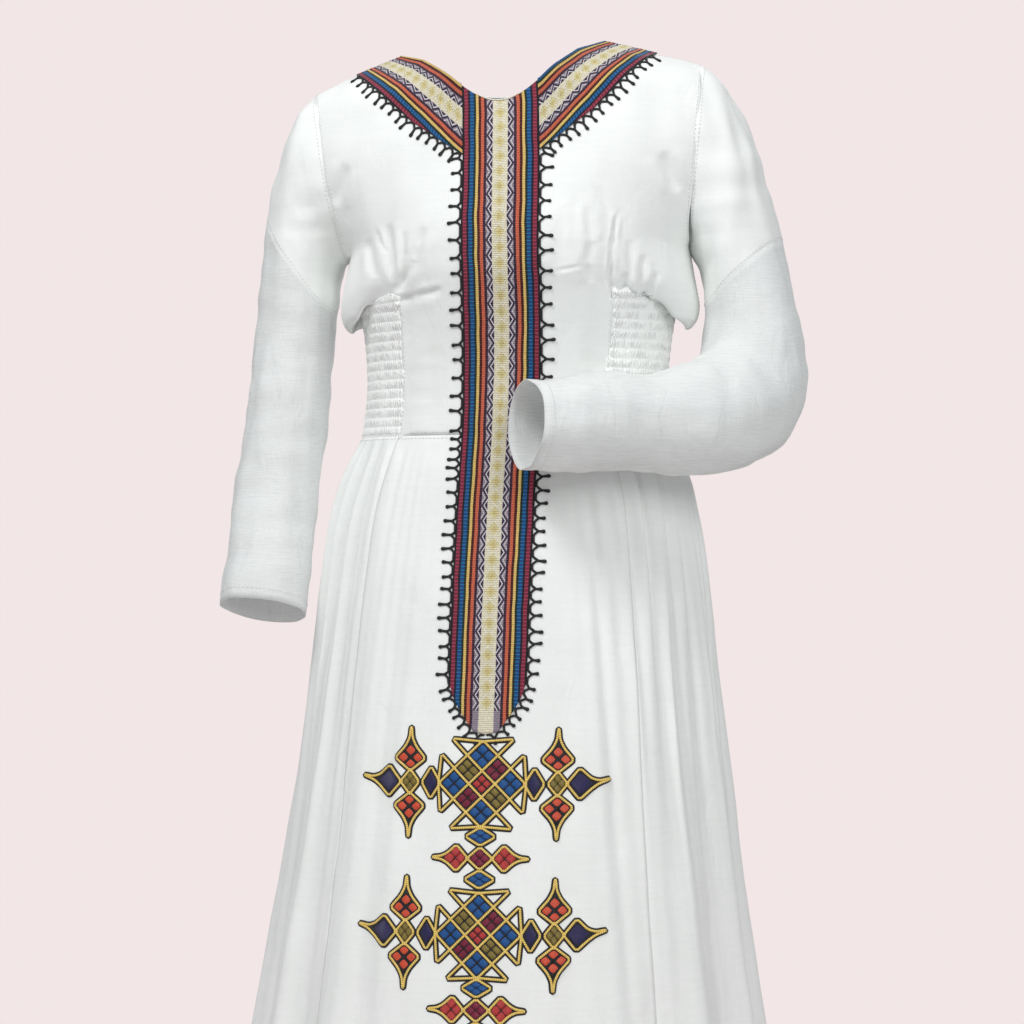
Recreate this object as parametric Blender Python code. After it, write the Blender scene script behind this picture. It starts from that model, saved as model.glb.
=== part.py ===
"""A long white cotton dress with woven trim, worn shape, built as its sewn pieces.

Metres, +Z up, front towards -Y, the wearer's left towards +X. The origin is between the shoulders, level with the
neck ends of the shoulder seams. One arm hangs, and the other is bent across the waist.
"""

import math
from collections import namedtuple

import bmesh
import bpy
import numpy as np

SEAM_GAP = 0.0003
CLOTH = 0.0016
SLEEVE_CLOTH = 0.0013
TRIM_CLOTH = 0.0013

WAIST_SEAM = -0.412
SMOCK_TOP = -0.270
UNDERARM = (0.181, 0.008, -0.218)
SHOULDER_TIP = (0.205, 0.008, -0.034)
ARMHOLE_HALF_DEPTH = 0.062
ARMHOLE_STEPS = 12
HEM = -1.350

SHOULDER_TILT = 0.045
TILT_ENDS = (WAIST_SEAM, -0.060)

PRINCESS_DEG = 42.0
TRIM_WIDTH = 0.078
TRIM_END_EDGE = ((0.0390, -0.6570), (0.0335, -0.6740), (0.0275, -0.6850), (0.0190, -0.6970), (0.0120, -0.7065),
                 (0.0000, -0.7090))
NECK_TRIM_EDGE = ((0.039, -0.1275), (0.094, -0.0855), (0.160, -0.0165))

WHITE = (0.90, 0.90, 0.88, 1.0)
SHEER_WHITE = (0.92, 0.92, 0.89, 1.0)
TRIM_COLOUR = (0.36, 0.16, 0.19, 1.0)

# Sideways lean of the whole garment, by height
Lean = namedtuple("Lean", "height shift")
LEAN = [
    Lean(0.00, -0.011),
    Lean(-0.05, -0.002),
    Lean(-0.12, 0.003),
    Lean(-0.24, 0.006),
    Lean(-0.41, 0.003),
    Lean(-0.60, -0.002),
    Lean(-0.90, -0.005),
    Lean(-1.35, -0.007),
]

# Bodice below the underarm, by height: half width, and depth in front of and behind the side line
Section = namedtuple("Section", "height half_width front back")
BODICE = [
    Section(WAIST_SEAM, 0.1640, 0.1180, 0.0870),
    Section(-0.375, 0.1590, 0.1150, 0.0830),
    Section(-0.335, 0.1600, 0.1170, 0.0840),
    Section(SMOCK_TOP, 0.1690, 0.1310, 0.0900),
    Section(-0.243, 0.1760, 0.1380, 0.0950),
    Section(UNDERARM[2], UNDERARM[0], 0.1390, 0.0990),
]
SIDE_LINE_Y = UNDERARM[1]

# Bodice above the underarm, one row for each step up the armhole: the centre or neckline end of the row, and how far
# the row bends round, in degrees
Row = namedtuple("Row", "x y z bend")
FRONT_ROWS = [
    Row(0.000, -0.131, UNDERARM[2], 90),
    Row(0.000, -0.1305, -0.205, 78),
    Row(0.000, -0.128, -0.189, 69),
    Row(0.000, -0.122, -0.171, 62),
    Row(0.000, -0.116, -0.152, 56),
    Row(0.000, -0.109, -0.133, 52),
    Row(0.000, -0.102, -0.113, 49),
    Row(0.000, -0.095, -0.093, 46),
    Row(0.000, -0.087, -0.074, 44),
    Row(0.043, -0.0745, -0.0490, 42),
    Row(0.059, -0.0565, -0.0325, 40),
    Row(0.081, -0.0275, -0.0135, 38),
    Row(0.108, 0.008, 0.000, 36),
]
BACK_ROWS = [
    Row(0.000, 0.107, UNDERARM[2], 90),
    Row(0.000, 0.110, -0.200, 78),
    Row(0.000, 0.112, -0.180, 69),
    Row(0.000, 0.113, -0.158, 62),
    Row(0.000, 0.113, -0.135, 56),
    Row(0.000, 0.110, -0.110, 52),
    Row(0.000, 0.105, -0.085, 49),
    Row(0.000, 0.098, -0.059, 46),
    Row(0.000, 0.090, -0.035, 44),
    Row(0.040, 0.083, -0.032, 42),
    Row(0.073, 0.065, -0.021, 40),
    Row(0.097, 0.039, -0.009, 38),
    Row(0.108, 0.008, 0.000, 36),
]

# The loose cloth that hangs over the smocking at the side, from the underarm down and back up to its seam
Blouse = namedtuple("Blouse", "share height out")
BLOUSE = [
    Blouse(1.00, UNDERARM[2], 0.0000),
    Blouse(0.82, -0.2450, 0.0060),
    Blouse(0.66, -0.2730, 0.0125),
    Blouse(0.50, -0.2990, 0.0165),
    Blouse(0.34, -0.3140, 0.0120),
    Blouse(0.18, -0.2980, 0.0065),
    Blouse(0.00, SMOCK_TOP + 0.0010, 0.0020),
]
# A sheet of cloth before it gets its thickness: the flat pattern's points, the worn points, the directions out of the
# cloth, and the faces
Sheet = namedtuple("Sheet", "pattern points directions faces")

BLOUSE_OUT_DEG = (42.0, 64.0)
BLOUSE_DOWN_DEG = (42.0, 92.0)

# Columns of the bodice from the centre to the side, as shares of the row, with the princess seam between two groups
FRONT_STEPS, WING_STEPS = 6, 5
BODICE_COLUMNS = [PRINCESS_DEG / 90 * k / FRONT_STEPS for k in range(FRONT_STEPS)]
BODICE_COLUMNS += [(PRINCESS_DEG + (90 - PRINCESS_DEG) * k / WING_STEPS) / 90 for k in range(WING_STEPS + 1)]
MIDRIFF_ROWS = 3
MIDRIFF_HEIGHTS = [WAIST_SEAM + (SMOCK_TOP - WAIST_SEAM) * k / MIDRIFF_ROWS for k in range(MIDRIFF_ROWS + 1)]

SMOCK_ROWS = 9
SMOCK_PUFFS = 12
SMOCK_HEIGHT = 0.0022
SMOCK_LOW_SHARE = 0.35
SMOCK_INNER_COLUMNS = 8

# Skirt, by height
SKIRT = [
    Section(WAIST_SEAM, 0.1640, 0.1180, 0.0870),
    Section(-0.447, 0.1780, 0.1270, 0.0970),
    Section(-0.480, 0.1890, 0.1340, 0.1070),
    Section(-0.600, 0.2080, 0.1540, 0.1330),
    Section(-0.700, 0.2190, 0.1680, 0.1510),
    Section(-0.835, 0.2340, 0.1870, 0.1720),
    Section(-1.028, 0.2600, 0.2120, 0.1980),
    Section(-1.200, 0.2840, 0.2330, 0.2200),
    Section(HEM, 0.3050, 0.2520, 0.2400),
]
SKIRT_HEIGHTS = [WAIST_SEAM, -0.426, -0.447, -0.480, -0.540, -0.630, -0.740, -0.880, -1.040, -1.200, HEM]
GATHERS_A_SIDE = 11
COLUMNS_A_GATHER = 4
MIDDLE_SKIRT_COLUMNS = 2 * FRONT_STEPS

# How deep the gathers stand, by height
Depth = namedtuple("Depth", "height depth")
GATHER_DEPTH = [
    Depth(WAIST_SEAM, 0.0000),
    Depth(-0.426, 0.0018),
    Depth(-0.447, 0.0030),
    Depth(-0.480, 0.0038),
    Depth(-0.540, 0.0034),
    Depth(-0.740, 0.0016),
    Depth(HEM, 0.0006),
]

# Large soft folds of the skirt: degrees round from the centre front, half width in degrees, depth at the hem, and the
# height where each starts
Fold = namedtuple("Fold", "turn half_width depth top")
FOLDS = [
    Fold(-166, 12, 0.012, -0.50),
    Fold(-143, 10, 0.016, -0.47),
    Fold(-121, 9, 0.014, -0.45),
    Fold(-101, 9, 0.018, -0.46),
    Fold(-80, 9, 0.016, -0.50),
    Fold(-58, 8, 0.015, -0.47),
    Fold(-38, 8, 0.010, -0.56),
    Fold(-15, 8, 0.006, -0.76),
    Fold(11, 8, 0.006, -0.80),
    Fold(33, 9, 0.011, -0.58),
    Fold(55, 8, 0.015, -0.46),
    Fold(77, 9, 0.017, -0.49),
    Fold(99, 9, 0.016, -0.46),
    Fold(120, 10, 0.015, -0.45),
    Fold(144, 10, 0.015, -0.48),
    Fold(170, 11, 0.012, -0.52),
]

# Rings of each sleeve, from below the shoulder to the wrist: its outer point, its inner point, and half its depth
Ring = namedtuple("Ring", "at outer_x outer_y outer_z inner_x inner_y inner_z half_depth")
HANGING_SLEEVE = [
    Ring(0.10, -0.2235, 0.010, -0.054, -0.1870, 0.010, -0.2270, 0.0630),
    Ring(0.20, -0.2400, 0.012, -0.092, -0.1910, 0.012, -0.2400, 0.0635),
    Ring(0.35, -0.2590, 0.014, -0.160, -0.1945, 0.014, -0.2690, 0.0620),
    Ring(0.50, -0.2720, 0.014, -0.245, -0.1965, 0.014, -0.3140, 0.0590),
    Ring(0.66, -0.2840, 0.008, -0.345, -0.2000, 0.008, -0.3830, 0.0560),
    Ring(0.82, -0.2930, -0.012, -0.460, -0.2080, -0.012, -0.4790, 0.0530),
    Ring(1.00, -0.3010, -0.048, -0.590, -0.2130, -0.048, -0.5950, 0.0520),
]
BENT_SLEEVE = [
    Ring(0.08, 0.2250, 0.009, -0.048, 0.1920, 0.010, -0.2260, 0.0630),
    Ring(0.16, 0.2430, 0.010, -0.080, 0.1970, 0.010, -0.2360, 0.0635),
    Ring(0.28, 0.2640, 0.012, -0.140, 0.2010, 0.010, -0.2560, 0.0620),
    Ring(0.40, 0.2840, 0.014, -0.220, 0.2035, 0.002, -0.2800, 0.0590),
    Ring(0.50, 0.3000, 0.016, -0.305, 0.2050, -0.012, -0.3040, 0.0570),
    Ring(0.60, 0.2980, -0.002, -0.395, 0.2010, -0.034, -0.3280, 0.0550),
    Ring(0.70, 0.2480, -0.066, -0.444, 0.1830, -0.064, -0.3440, 0.0530),
    Ring(0.84, 0.1500, -0.136, -0.450, 0.1250, -0.118, -0.3540, 0.0490),
    Ring(1.00, 0.0400, -0.190, -0.447, 0.0400, -0.182, -0.3610, 0.0450),
]
SLEEVE_RINGS = 13
LINED_RINGS = 5


def smooth(table, key, value, at):
    """The named value of a table at a place between its rows, on a smooth curve."""
    places = np.array([getattr(row, key) for row in table], float)
    values = np.array([getattr(row, value) for row in table], float)
    if places[0] > places[-1]:
        places, values = places[::-1], values[::-1]
    slopes = np.gradient(values, places)
    i = int(np.clip(np.searchsorted(places, at) - 1, 0, len(places) - 2))
    span = places[i + 1] - places[i]
    t = float(np.clip((at - places[i]) / span, 0, 1))
    start = (1 + 2 * t) * (1 - t) ** 2 * values[i] + t * (1 - t) ** 2 * span * slopes[i]
    end = t * t * (3 - 2 * t) * values[i + 1] + t * t * (t - 1) * span * slopes[i + 1]
    return start + end


def ease(value, low, high):
    """0 below low, 1 above high, and a soft step between."""
    t = min(1.0, max(0.0, (value - low) / (high - low)))
    return t * t * (3 - 2 * t)


def posed(point):
    """A point of the upright pattern after the lean of the body and the tilt of the shoulders."""
    x, y, z = point
    x = x + smooth(LEAN, "height", "shift", z)
    return np.array([x, y, z + SHOULDER_TILT * x * ease(z, *TILT_ENDS)])


def armhole(step, face):
    """A point of the armhole, from the underarm at step 0 over the front (-1) or back (+1) to the shoulder tip."""
    turn = math.pi * step / ARMHOLE_STEPS
    low, high = np.array(UNDERARM), np.array(SHOULDER_TIP)
    middle, half = (low + high) / 2, (high - low) / 2
    point = middle - math.cos(turn) * half
    point[1] += face * math.sin(turn) * ARMHOLE_HALF_DEPTH
    return point


def arc_point(inner, outer, bend_deg, across):
    """A point of a row that runs from its inner end round to its outer end."""
    bend = math.radians(bend_deg)
    forward = math.sin(across * bend) / math.sin(bend)
    round_share = (math.cos(across * bend) - math.cos(bend)) / (1 - math.cos(bend))
    x = inner[0] + (outer[0] - inner[0]) * forward
    y = outer[1] + (inner[1] - outer[1]) * round_share
    z = inner[2] + (outer[2] - inner[2]) * across
    return np.array([x, y, z])


def upper_point(face, step, across):
    """A point of the bodice above the underarm; the step may lie between rows."""
    rows = FRONT_ROWS if face < 0 else BACK_ROWS
    low = min(int(step), ARMHOLE_STEPS - 1)
    part = step - low
    ends = []
    for k in (low, low + 1):
        row = rows[k]
        ends.append(arc_point(row[:3], armhole(k, face), row.bend, across))
    return ends[0] * (1 - part) + ends[1] * part


def lower_point(face, height, across, sections=BODICE):
    """A point of the bodice below the underarm, or of the plain skirt."""
    depth = smooth(sections, "height", "front" if face < 0 else "back", height)
    half_width = smooth(sections, "height", "half_width", height)
    turn = across * math.pi / 2
    return np.array([half_width * math.sin(turn), SIDE_LINE_Y + face * depth * math.cos(turn), height])


def blouse_point(face, share, across):
    """A point between the smocking's top seam, share 0, and the underarm, share 1."""
    plain_height = SMOCK_TOP + (UNDERARM[2] - SMOCK_TOP) * share
    point = lower_point(face, plain_height, across)
    out = ease(across * 90, *BLOUSE_OUT_DEG) * smooth(BLOUSE, "share", "out", share)
    turn = across * math.pi / 2
    point[0] += out * math.sin(turn)
    point[1] += face * out * math.cos(turn)
    point[2] += ease(across * 90, *BLOUSE_DOWN_DEG) * (smooth(BLOUSE, "share", "height", share) - plain_height)
    return point


def bodice_half(face, side):
    """Rows of pattern points of half the front or back, from the waist seam to the shoulder."""
    rows = [[lower_point(face, height, a) for a in BODICE_COLUMNS] for height in MIDRIFF_HEIGHTS]
    rows[-1][FRONT_STEPS + 1:] = [blouse_point(face, 0.0, a) for a in BODICE_COLUMNS[FRONT_STEPS + 1:]]
    shares = sorted(row.share for row in BLOUSE)[1:-1]
    rows += [[blouse_point(face, share, a) for a in BODICE_COLUMNS] for share in shares]
    rows += [[upper_point(face, step, a) for a in BODICE_COLUMNS] for step in range(ARMHOLE_STEPS + 1)]
    return np.array(rows) * (side, 1, 1)


def posed_grid(pattern):
    """A grid of pattern points after the lean and the tilt."""
    return np.array([[posed(point) for point in row] for row in pattern])


def bodice_normals(points, outward):
    """Unit vectors out of half the front or back, where the side hangs free of the midriff below it."""
    normals = grid_normals(points) * outward
    hanging = grid_normals(points[MIDRIFF_ROWS:]) * outward
    normals[MIDRIFF_ROWS, FRONT_STEPS + 1:] = hanging[0, FRONT_STEPS + 1:]
    return normals


def grid_normals(points, closed=False):
    """Unit vectors across each point of a grid of rows and columns."""
    along = np.gradient(points, axis=0)
    if closed:
        around = np.roll(points, -1, axis=1) - np.roll(points, 1, axis=1)
    else:
        around = np.gradient(points, axis=1)
    normals = np.cross(around, along)
    return normals / np.maximum(np.linalg.norm(normals, axis=2, keepdims=True), 1e-12)


def shared(first, second):
    """The common direction of two sets of unit vectors."""
    total = first + second
    return total / np.maximum(np.linalg.norm(total, axis=-1, keepdims=True), 1e-12)


def add_object(name, vertices, faces, colour):
    """A named mesh object with its own plain material."""
    mesh = bpy.data.meshes.new(name)
    mesh.from_pydata([tuple(v) for v in vertices], [], faces)
    mesh.validate()
    mesh.shade_smooth()
    mesh.set_sharp_from_angle(angle=math.radians(50))
    material = bpy.data.materials.new(name + "_cloth")
    material.use_nodes = True
    shader = material.node_tree.nodes["Principled BSDF"]
    shader.inputs["Base Color"].default_value = colour
    shader.inputs["Roughness"].default_value = 0.85
    shader.inputs["Metallic"].default_value = 0.0
    mesh.materials.append(material)
    made = bpy.data.objects.new(name, mesh)
    bpy.context.scene.collection.objects.link(made)
    return made


def joined_sheet(grids):
    """One sheet of triangles from grids of points whose shared edges are joined.

    Each grid is (pattern, points, directions, skip, closed): skip(row, column) leaves a cell out, and closed joins the
    last column to the first.
    """
    index, sheet = {}, Sheet([], [], [], [])
    for pattern, points, directions, skip, closed in grids:
        rows, columns = points.shape[:2]
        numbers = {}
        for r in range(rows - 1):
            for c in range(columns if closed else columns - 1):
                if skip and skip(r, c):
                    continue
                corners = [(r, c), (r, (c + 1) % columns), (r + 1, (c + 1) % columns), (r + 1, c)]
                for k in corners:
                    key = tuple(np.round(points[k] * 1e6).astype(int))
                    if key not in index:
                        index[key] = len(sheet.points)
                        sheet.pattern.append(pattern[k])
                        sheet.points.append(points[k])
                        sheet.directions.append(directions[k])
                    numbers[k] = index[key]
                quad = [numbers[k] for k in corners]
                sheet.faces.append((quad[0], quad[1], quad[2]))
                sheet.faces.append((quad[0], quad[2], quad[3]))
    return sheet


def wall(name, sheet, near, far, colour):
    """A closed wall between two distances out from a sheet."""
    points, directions = np.array(sheet.points), np.array(sheet.directions)
    directions = directions / np.linalg.norm(directions, axis=1, keepdims=True)
    count = len(points)
    vertices = list(points + far * directions) + list(points + near * directions)
    faces = [tuple(face) for face in sheet.faces] + [tuple(count + i for i in reversed(face)) for face in sheet.faces]
    edges = {(a, b) for face in sheet.faces for a, b in zip(face, face[1:] + face[:1])}
    for a, b in sorted(edges):
        if (b, a) in edges:
            continue
        low_to_high = points[a][2] <= points[b][2]
        faces += [(b, a, b + count), (a, a + count, b + count)] if low_to_high else [
            (b, a, a + count), (b, a + count, b + count)]
    return add_object(name, vertices, faces, colour)


def cut_out(sheet, lines):
    """The part of a sheet inside a convex outline, given as lines on the front view of the pattern.

    Each line is (point, outward), both as (x, z).
    """
    mesh = bmesh.new()
    place = mesh.verts.layers.float_vector.new("place")
    way = mesh.verts.layers.float_vector.new("way")
    made = []
    for flat, point, direction in zip(sheet.pattern, sheet.points, sheet.directions):
        vertex = mesh.verts.new((flat[0], 0.0, flat[2]))
        vertex[place], vertex[way] = point, direction
        made.append(vertex)
    for face in sheet.faces:
        mesh.faces.new([made[i] for i in face])
    for at, out in lines:
        bmesh.ops.bisect_plane(mesh, geom=mesh.verts[:] + mesh.edges[:] + mesh.faces[:], dist=1e-6,
                               plane_co=(at[0], 0, at[1]), plane_no=(out[0], 0, out[1]), clear_outer=True)
    bmesh.ops.delete(mesh, geom=[v for v in mesh.verts if not v.link_faces], context="VERTS")
    mesh.verts.index_update()
    part = Sheet(
        [np.array(v.co) for v in mesh.verts],
        [np.array(v[place]) for v in mesh.verts],
        [np.array(v[way]) for v in mesh.verts],
        [tuple(v.index for v in face.verts) for face in mesh.faces],
    )
    mesh.free()
    return part


def bodice_sheet(face, armhole_directions):
    """The front or the back, in one piece from shoulders to waist, with its sides stopping at the smocking."""
    last = len(BODICE_COLUMNS) - 1
    patterns = {side: bodice_half(face, side) for side in (-1, 1)}
    underarm = len(patterns[1]) - ARMHOLE_STEPS - 1
    points, normals = {}, {}
    for side in (-1, 1):
        points[side] = posed_grid(patterns[side])
        own = bodice_normals(points[side], -side * face)
        other = bodice_normals(posed_grid(bodice_half(-face, side)), side * face)
        own[-1] = shared(own[-1], other[-1])
        own[MIDRIFF_ROWS:underarm + 1, -1] = shared(own, other)[MIDRIFF_ROWS:underarm + 1, -1]
        own[underarm + 1:, -1] = armhole_directions[(side, face)]
        normals[side] = own
    rows = FRONT_ROWS if face < 0 else BACK_ROWS
    middle_rows = len(points[1]) - sum(row.x > 0 for row in rows)
    middle = shared(normals[-1][:middle_rows, 0], normals[1][:middle_rows, 0])
    grids = []
    for side in (-1, 1):
        normals[side][:middle_rows, 0] = middle
        outer = points[side]
        outer[-1, :, 1] += face * SEAM_GAP / 2
        outer[MIDRIFF_ROWS:underarm + 1, -1, 1] += face * SEAM_GAP / 2
        outer[0, :, 2] += SEAM_GAP / 2
        parts = [patterns[side], outer, normals[side]]
        if side * face > 0:
            parts = [part[:, ::-1] for part in parts]
            grids.append((*parts, lambda r, c: r < MIDRIFF_ROWS and c < last - FRONT_STEPS, False))
        else:
            grids.append((*parts, lambda r, c: r < MIDRIFF_ROWS and c >= FRONT_STEPS, False))
    return joined_sheet(grids)


def sleeve_rings(rings, side):
    """Points round and down a sleeve, starting on the armhole."""
    steps = list(range(ARMHOLE_STEPS, -1, -1)) + list(range(1, ARMHOLE_STEPS))
    faces = [-1] * (ARMHOLE_STEPS + 1) + [1] * (ARMHOLE_STEPS - 1)
    first = [posed(armhole(step, face) * (side, 1, 1)) + (side * SEAM_GAP, 0, 0) for step, face in zip(steps, faces)]
    turns = [math.pi * (1 - step / ARMHOLE_STEPS) * (1 if face < 0 else -1) for step, face in zip(steps, faces)]
    top, under = first[0], first[ARMHOLE_STEPS]
    table = [Ring(0.0, *top, *under, ARMHOLE_HALF_DEPTH)] + rings
    places = np.linspace(0, 1, SLEEVE_RINGS + 1)

    def at(place, name):
        return np.array([smooth(table, "at", f"{name}_{axis}", place) for axis in "xyz"])

    made = [np.array(first)]
    for place in places[1:]:
        outer, inner = at(place, "outer"), at(place, "inner")
        ahead, behind = min(1.0, place + 0.02), max(0.0, place - 0.02)
        middle_way = (at(ahead, "outer") + at(ahead, "inner") - at(behind, "outer") - at(behind, "inner")) / 2
        half = (outer - inner) / 2
        front = np.cross(half, middle_way) * -side
        front /= np.linalg.norm(front)
        half_depth = smooth(table, "at", "half_depth", place)
        middle = (outer + inner) / 2
        made.append(np.array([middle + half * math.cos(t) + front * math.sin(t) * half_depth for t in turns]))
    return np.array(made)


def sleeve_and_armhole(side, rings):
    """The sleeve's outer points and wall directions, and the directions of the armhole's edges in front and behind."""
    points = sleeve_rings(rings, side)
    normals = grid_normals(points, closed=True)
    centre = points.mean(axis=1, keepdims=True)
    if ((points - centre) * normals)[len(points) // 2].sum() < 0:
        normals = -normals
    edges = {}
    for face in (-1, 1):
        trunk = bodice_normals(posed_grid(bodice_half(face, side)), -side * face)[-ARMHOLE_STEPS:, -1]
        if face < 0:
            columns = [ARMHOLE_STEPS - step for step in range(1, ARMHOLE_STEPS + 1)]
        else:
            columns = [ARMHOLE_STEPS + step for step in range(1, ARMHOLE_STEPS)] + [0]
        sleeve = normals[0, columns]
        agree = (trunk * sleeve).sum(axis=1)
        weight = np.array([ease(value, 0.0, 0.5) for value in agree])[:, None]
        edges[face] = shared(trunk, weight * sleeve)
        normals[0, columns] = shared(sleeve, weight * trunk)
    top = shared(edges[-1][-1], edges[1][-1])
    edges[-1][-1] = edges[1][-1] = normals[0, 0] = top
    return points, normals, edges


def make_sleeves(side_name, points, normals, side):
    """A sleeve as two closed walls, its lined upper part and its sheer lower part, open at both ends."""
    down = points[LINED_RINGS + 1] - points[LINED_RINGS]
    lower_start = points[LINED_RINGS] + SEAM_GAP * down / np.linalg.norm(down, axis=1, keepdims=True)
    parts = [
        ("upper", points[:LINED_RINGS + 1], normals[:LINED_RINGS + 1], WHITE),
        ("lower", np.concatenate([lower_start[None], points[LINED_RINGS + 1:]]), normals[LINED_RINGS:], SHEER_WHITE),
    ]
    for name, rings, directions, colour in parts:
        if side > 0:
            rings, directions = rings[:, ::-1], directions[:, ::-1]
        sheet = joined_sheet([(rings[::-1], rings[::-1], directions[::-1], None, True)])
        wall(f"{side_name}_{name}_sleeve", sheet, -SLEEVE_CLOTH, 0.0, colour)


def stitched_wall(name, outer, inner, colour):
    """A closed wall with a fine outer grid over a plain inner grid whose rows and columns divide the outer ones."""
    rows, columns = outer.shape[0] - 1, outer.shape[1] - 1
    inner_rows, inner_columns = inner.shape[0] - 1, inner.shape[1] - 1
    vertices = list(outer.reshape(-1, 3)) + list(inner.reshape(-1, 3))
    start = outer.shape[0] * outer.shape[1]

    def out(r, c):
        return r * (columns + 1) + c

    def back(r, c):
        return start + r * (inner_columns + 1) + c

    faces = [(out(r, c), out(r, c + 1), out(r + 1, c + 1), out(r + 1, c))
             for r in range(rows) for c in range(columns)]
    faces += [(back(r, c), back(r + 1, c), back(r + 1, c + 1), back(r, c + 1))
              for r in range(inner_rows) for c in range(inner_columns)]
    rims = [
        ([out(0, c) for c in range(columns + 1)][::-1], [back(0, c) for c in range(inner_columns + 1)][::-1]),
        ([out(rows, c) for c in range(columns + 1)], [back(inner_rows, c) for c in range(inner_columns + 1)]),
        ([out(r, 0) for r in range(rows + 1)], [back(r, 0) for r in range(inner_rows + 1)]),
        ([out(r, columns) for r in range(rows + 1)][::-1], [back(r, inner_columns) for r in range(inner_rows + 1)][::-1]),
    ]
    for fine, plain in rims:
        ratio = (len(fine) - 1) // (len(plain) - 1)
        for k in range(len(plain) - 1):
            first, last = k * ratio, (k + 1) * ratio
            turn = (first + last) // 2
            faces += [(plain[k], fine[j], fine[j + 1]) for j in range(first, turn)]
            faces.append((plain[k], fine[turn], plain[k + 1]))
            faces += [(plain[k + 1], fine[j], fine[j + 1]) for j in range(turn, last)]
    return add_object(name, vertices, faces, colour)


def side_point(height, share, side):
    """A point round the side, from the front princess seam at share 0 to the back one at share 1."""
    seam = PRINCESS_DEG / 90
    if share <= 0.5:
        face, across = -1, seam + (1 - seam) * share * 2
    else:
        face, across = 1, 1 - (1 - seam) * (share - 0.5) * 2
    return posed(lower_point(face, height, across) * (side, 1, 1))


def smocked_side(name, side):
    """The elasticated side of the waist, with rows of small puffs between lines of elastic."""
    seam_share = SEAM_GAP / 0.24
    shares = np.linspace(seam_share, 1 - seam_share, 2 * SMOCK_PUFFS + 1)
    coarse = np.array([[side_point(height, share, side) for share in shares] for height in MIDRIFF_HEIGHTS])
    coarse[0, :, 2] += SEAM_GAP / 2
    coarse[-1, :, 2] -= SEAM_GAP / 2
    coarse_normals = grid_normals(coarse) * side
    levels = np.linspace(0, MIDRIFF_ROWS, 2 * SMOCK_ROWS + 1)
    points, normals = [], []
    for level in levels:
        low = min(int(level), MIDRIFF_ROWS - 1)
        part = level - low
        points.append(coarse[low] * (1 - part) + coarse[low + 1] * part)
        normals.append(coarse_normals[low] * (1 - part) + coarse_normals[low + 1] * part)
    outer, normals = np.array(points), np.array(normals)
    for r in range(1, 2 * SMOCK_ROWS, 2):
        for c in range(1, 2 * SMOCK_PUFFS):
            puffed = (c + (r // 2)) % 2 == 0
            outer[r, c] += SMOCK_HEIGHT * (1.0 if puffed else SMOCK_LOW_SHARE) * normals[r, c]
    inner = (coarse - CLOTH * coarse_normals)[:, ::2 * SMOCK_PUFFS // SMOCK_INNER_COLUMNS]
    if side < 0:
        outer, inner = outer[:, ::-1], inner[:, ::-1]
    return stitched_wall(name, outer, inner, WHITE)


def fold_out(turn_deg, height):
    """How far the large folds and the gathers push the skirt out, at an angle from the centre front."""
    out = 0.0
    for fold in FOLDS:
        away = (turn_deg - fold.turn + 180) % 360 - 180
        drop = ease(fold.top - height, 0.0, fold.top - HEM)
        spread = (away / fold.half_width) ** 2
        out += fold.depth * drop * (1 - 1.4 * spread) * math.exp(-spread)
    return out


def gather_out(share, height):
    """The gathers of a side panel; their spacing and depth are a little uneven."""
    depth = smooth(GATHER_DEPTH, "height", "depth", height)
    uneven = 0.72 + 0.28 * math.sin(9.0 * share + 1.0)
    near_seam = ease(min(share, 1 - share), 0.0, 0.05)
    return -depth * uneven * near_seam * math.cos(2 * math.pi * GATHERS_A_SIDE * share)


def skirt_point(turn_deg, height, side_share=None):
    """A point of the skirt, at an angle from the centre front, positive to the wearer's left."""
    side = 1 if turn_deg >= 0 else -1
    turn = abs(turn_deg)
    face, across = (-1, turn / 90) if turn <= 90 else (1, (180 - turn) / 90)
    point = lower_point(face, height, across, SKIRT)
    out = fold_out(turn_deg, height)
    if side_share is not None:
        out += gather_out(side_share, height)
    way = math.radians(turn)
    point += (out * math.sin(way), -out * math.cos(way), 0)
    return point * (side, 1, 1)


def skirt_sheet(start_deg, end_deg, columns, gathered):
    """A panel of the skirt from the hem up to the waist seam, between two angles."""
    heights = ([WAIST_SEAM - SEAM_GAP / 2] + SKIRT_HEIGHTS[1:])[::-1]
    turns = np.linspace(start_deg, end_deg, columns + 1)
    pattern = []
    for height in heights:
        seam = math.degrees(SEAM_GAP / 2 / smooth(SKIRT, "height", "half_width", height))
        row = []
        for c, turn in enumerate(turns):
            shift = seam if c == 0 else -seam if c == columns else 0
            row.append(skirt_point((turn + shift + 180) % 360 - 180, height, c / columns if gathered else None))
        pattern.append(row)
    pattern = np.array(pattern)
    points = posed_grid(pattern)
    normals = grid_normals(points)
    for c, turn in ((0, start_deg), (-1, end_deg)):
        seam = [posed(skirt_point((turn + 180) % 360 - 180, height)) for height in heights]
        for r, height in enumerate(heights):
            near = [posed(skirt_point((turn + step + 180) % 360 - 180, height)) for step in (-0.5, 0.5)]
            normal = np.cross(near[1] - near[0], seam[min(r + 1, len(heights) - 1)] - seam[max(r - 1, 0)])
            normals[r, c] = normal / np.linalg.norm(normal)
    return pattern, points, normals


def panel(name, grid):
    """A skirt panel's closed wall."""
    return wall(name, joined_sheet([(*grid, None, False)]), -CLOTH, 0.0, WHITE)


def trim(name, sheet, lines):
    """A woven band that lies on the cloth it is cut from the shape of."""
    return wall(name, cut_out(sheet, lines), SEAM_GAP, SEAM_GAP + TRIM_CLOTH, TRIM_COLOUR)


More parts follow.
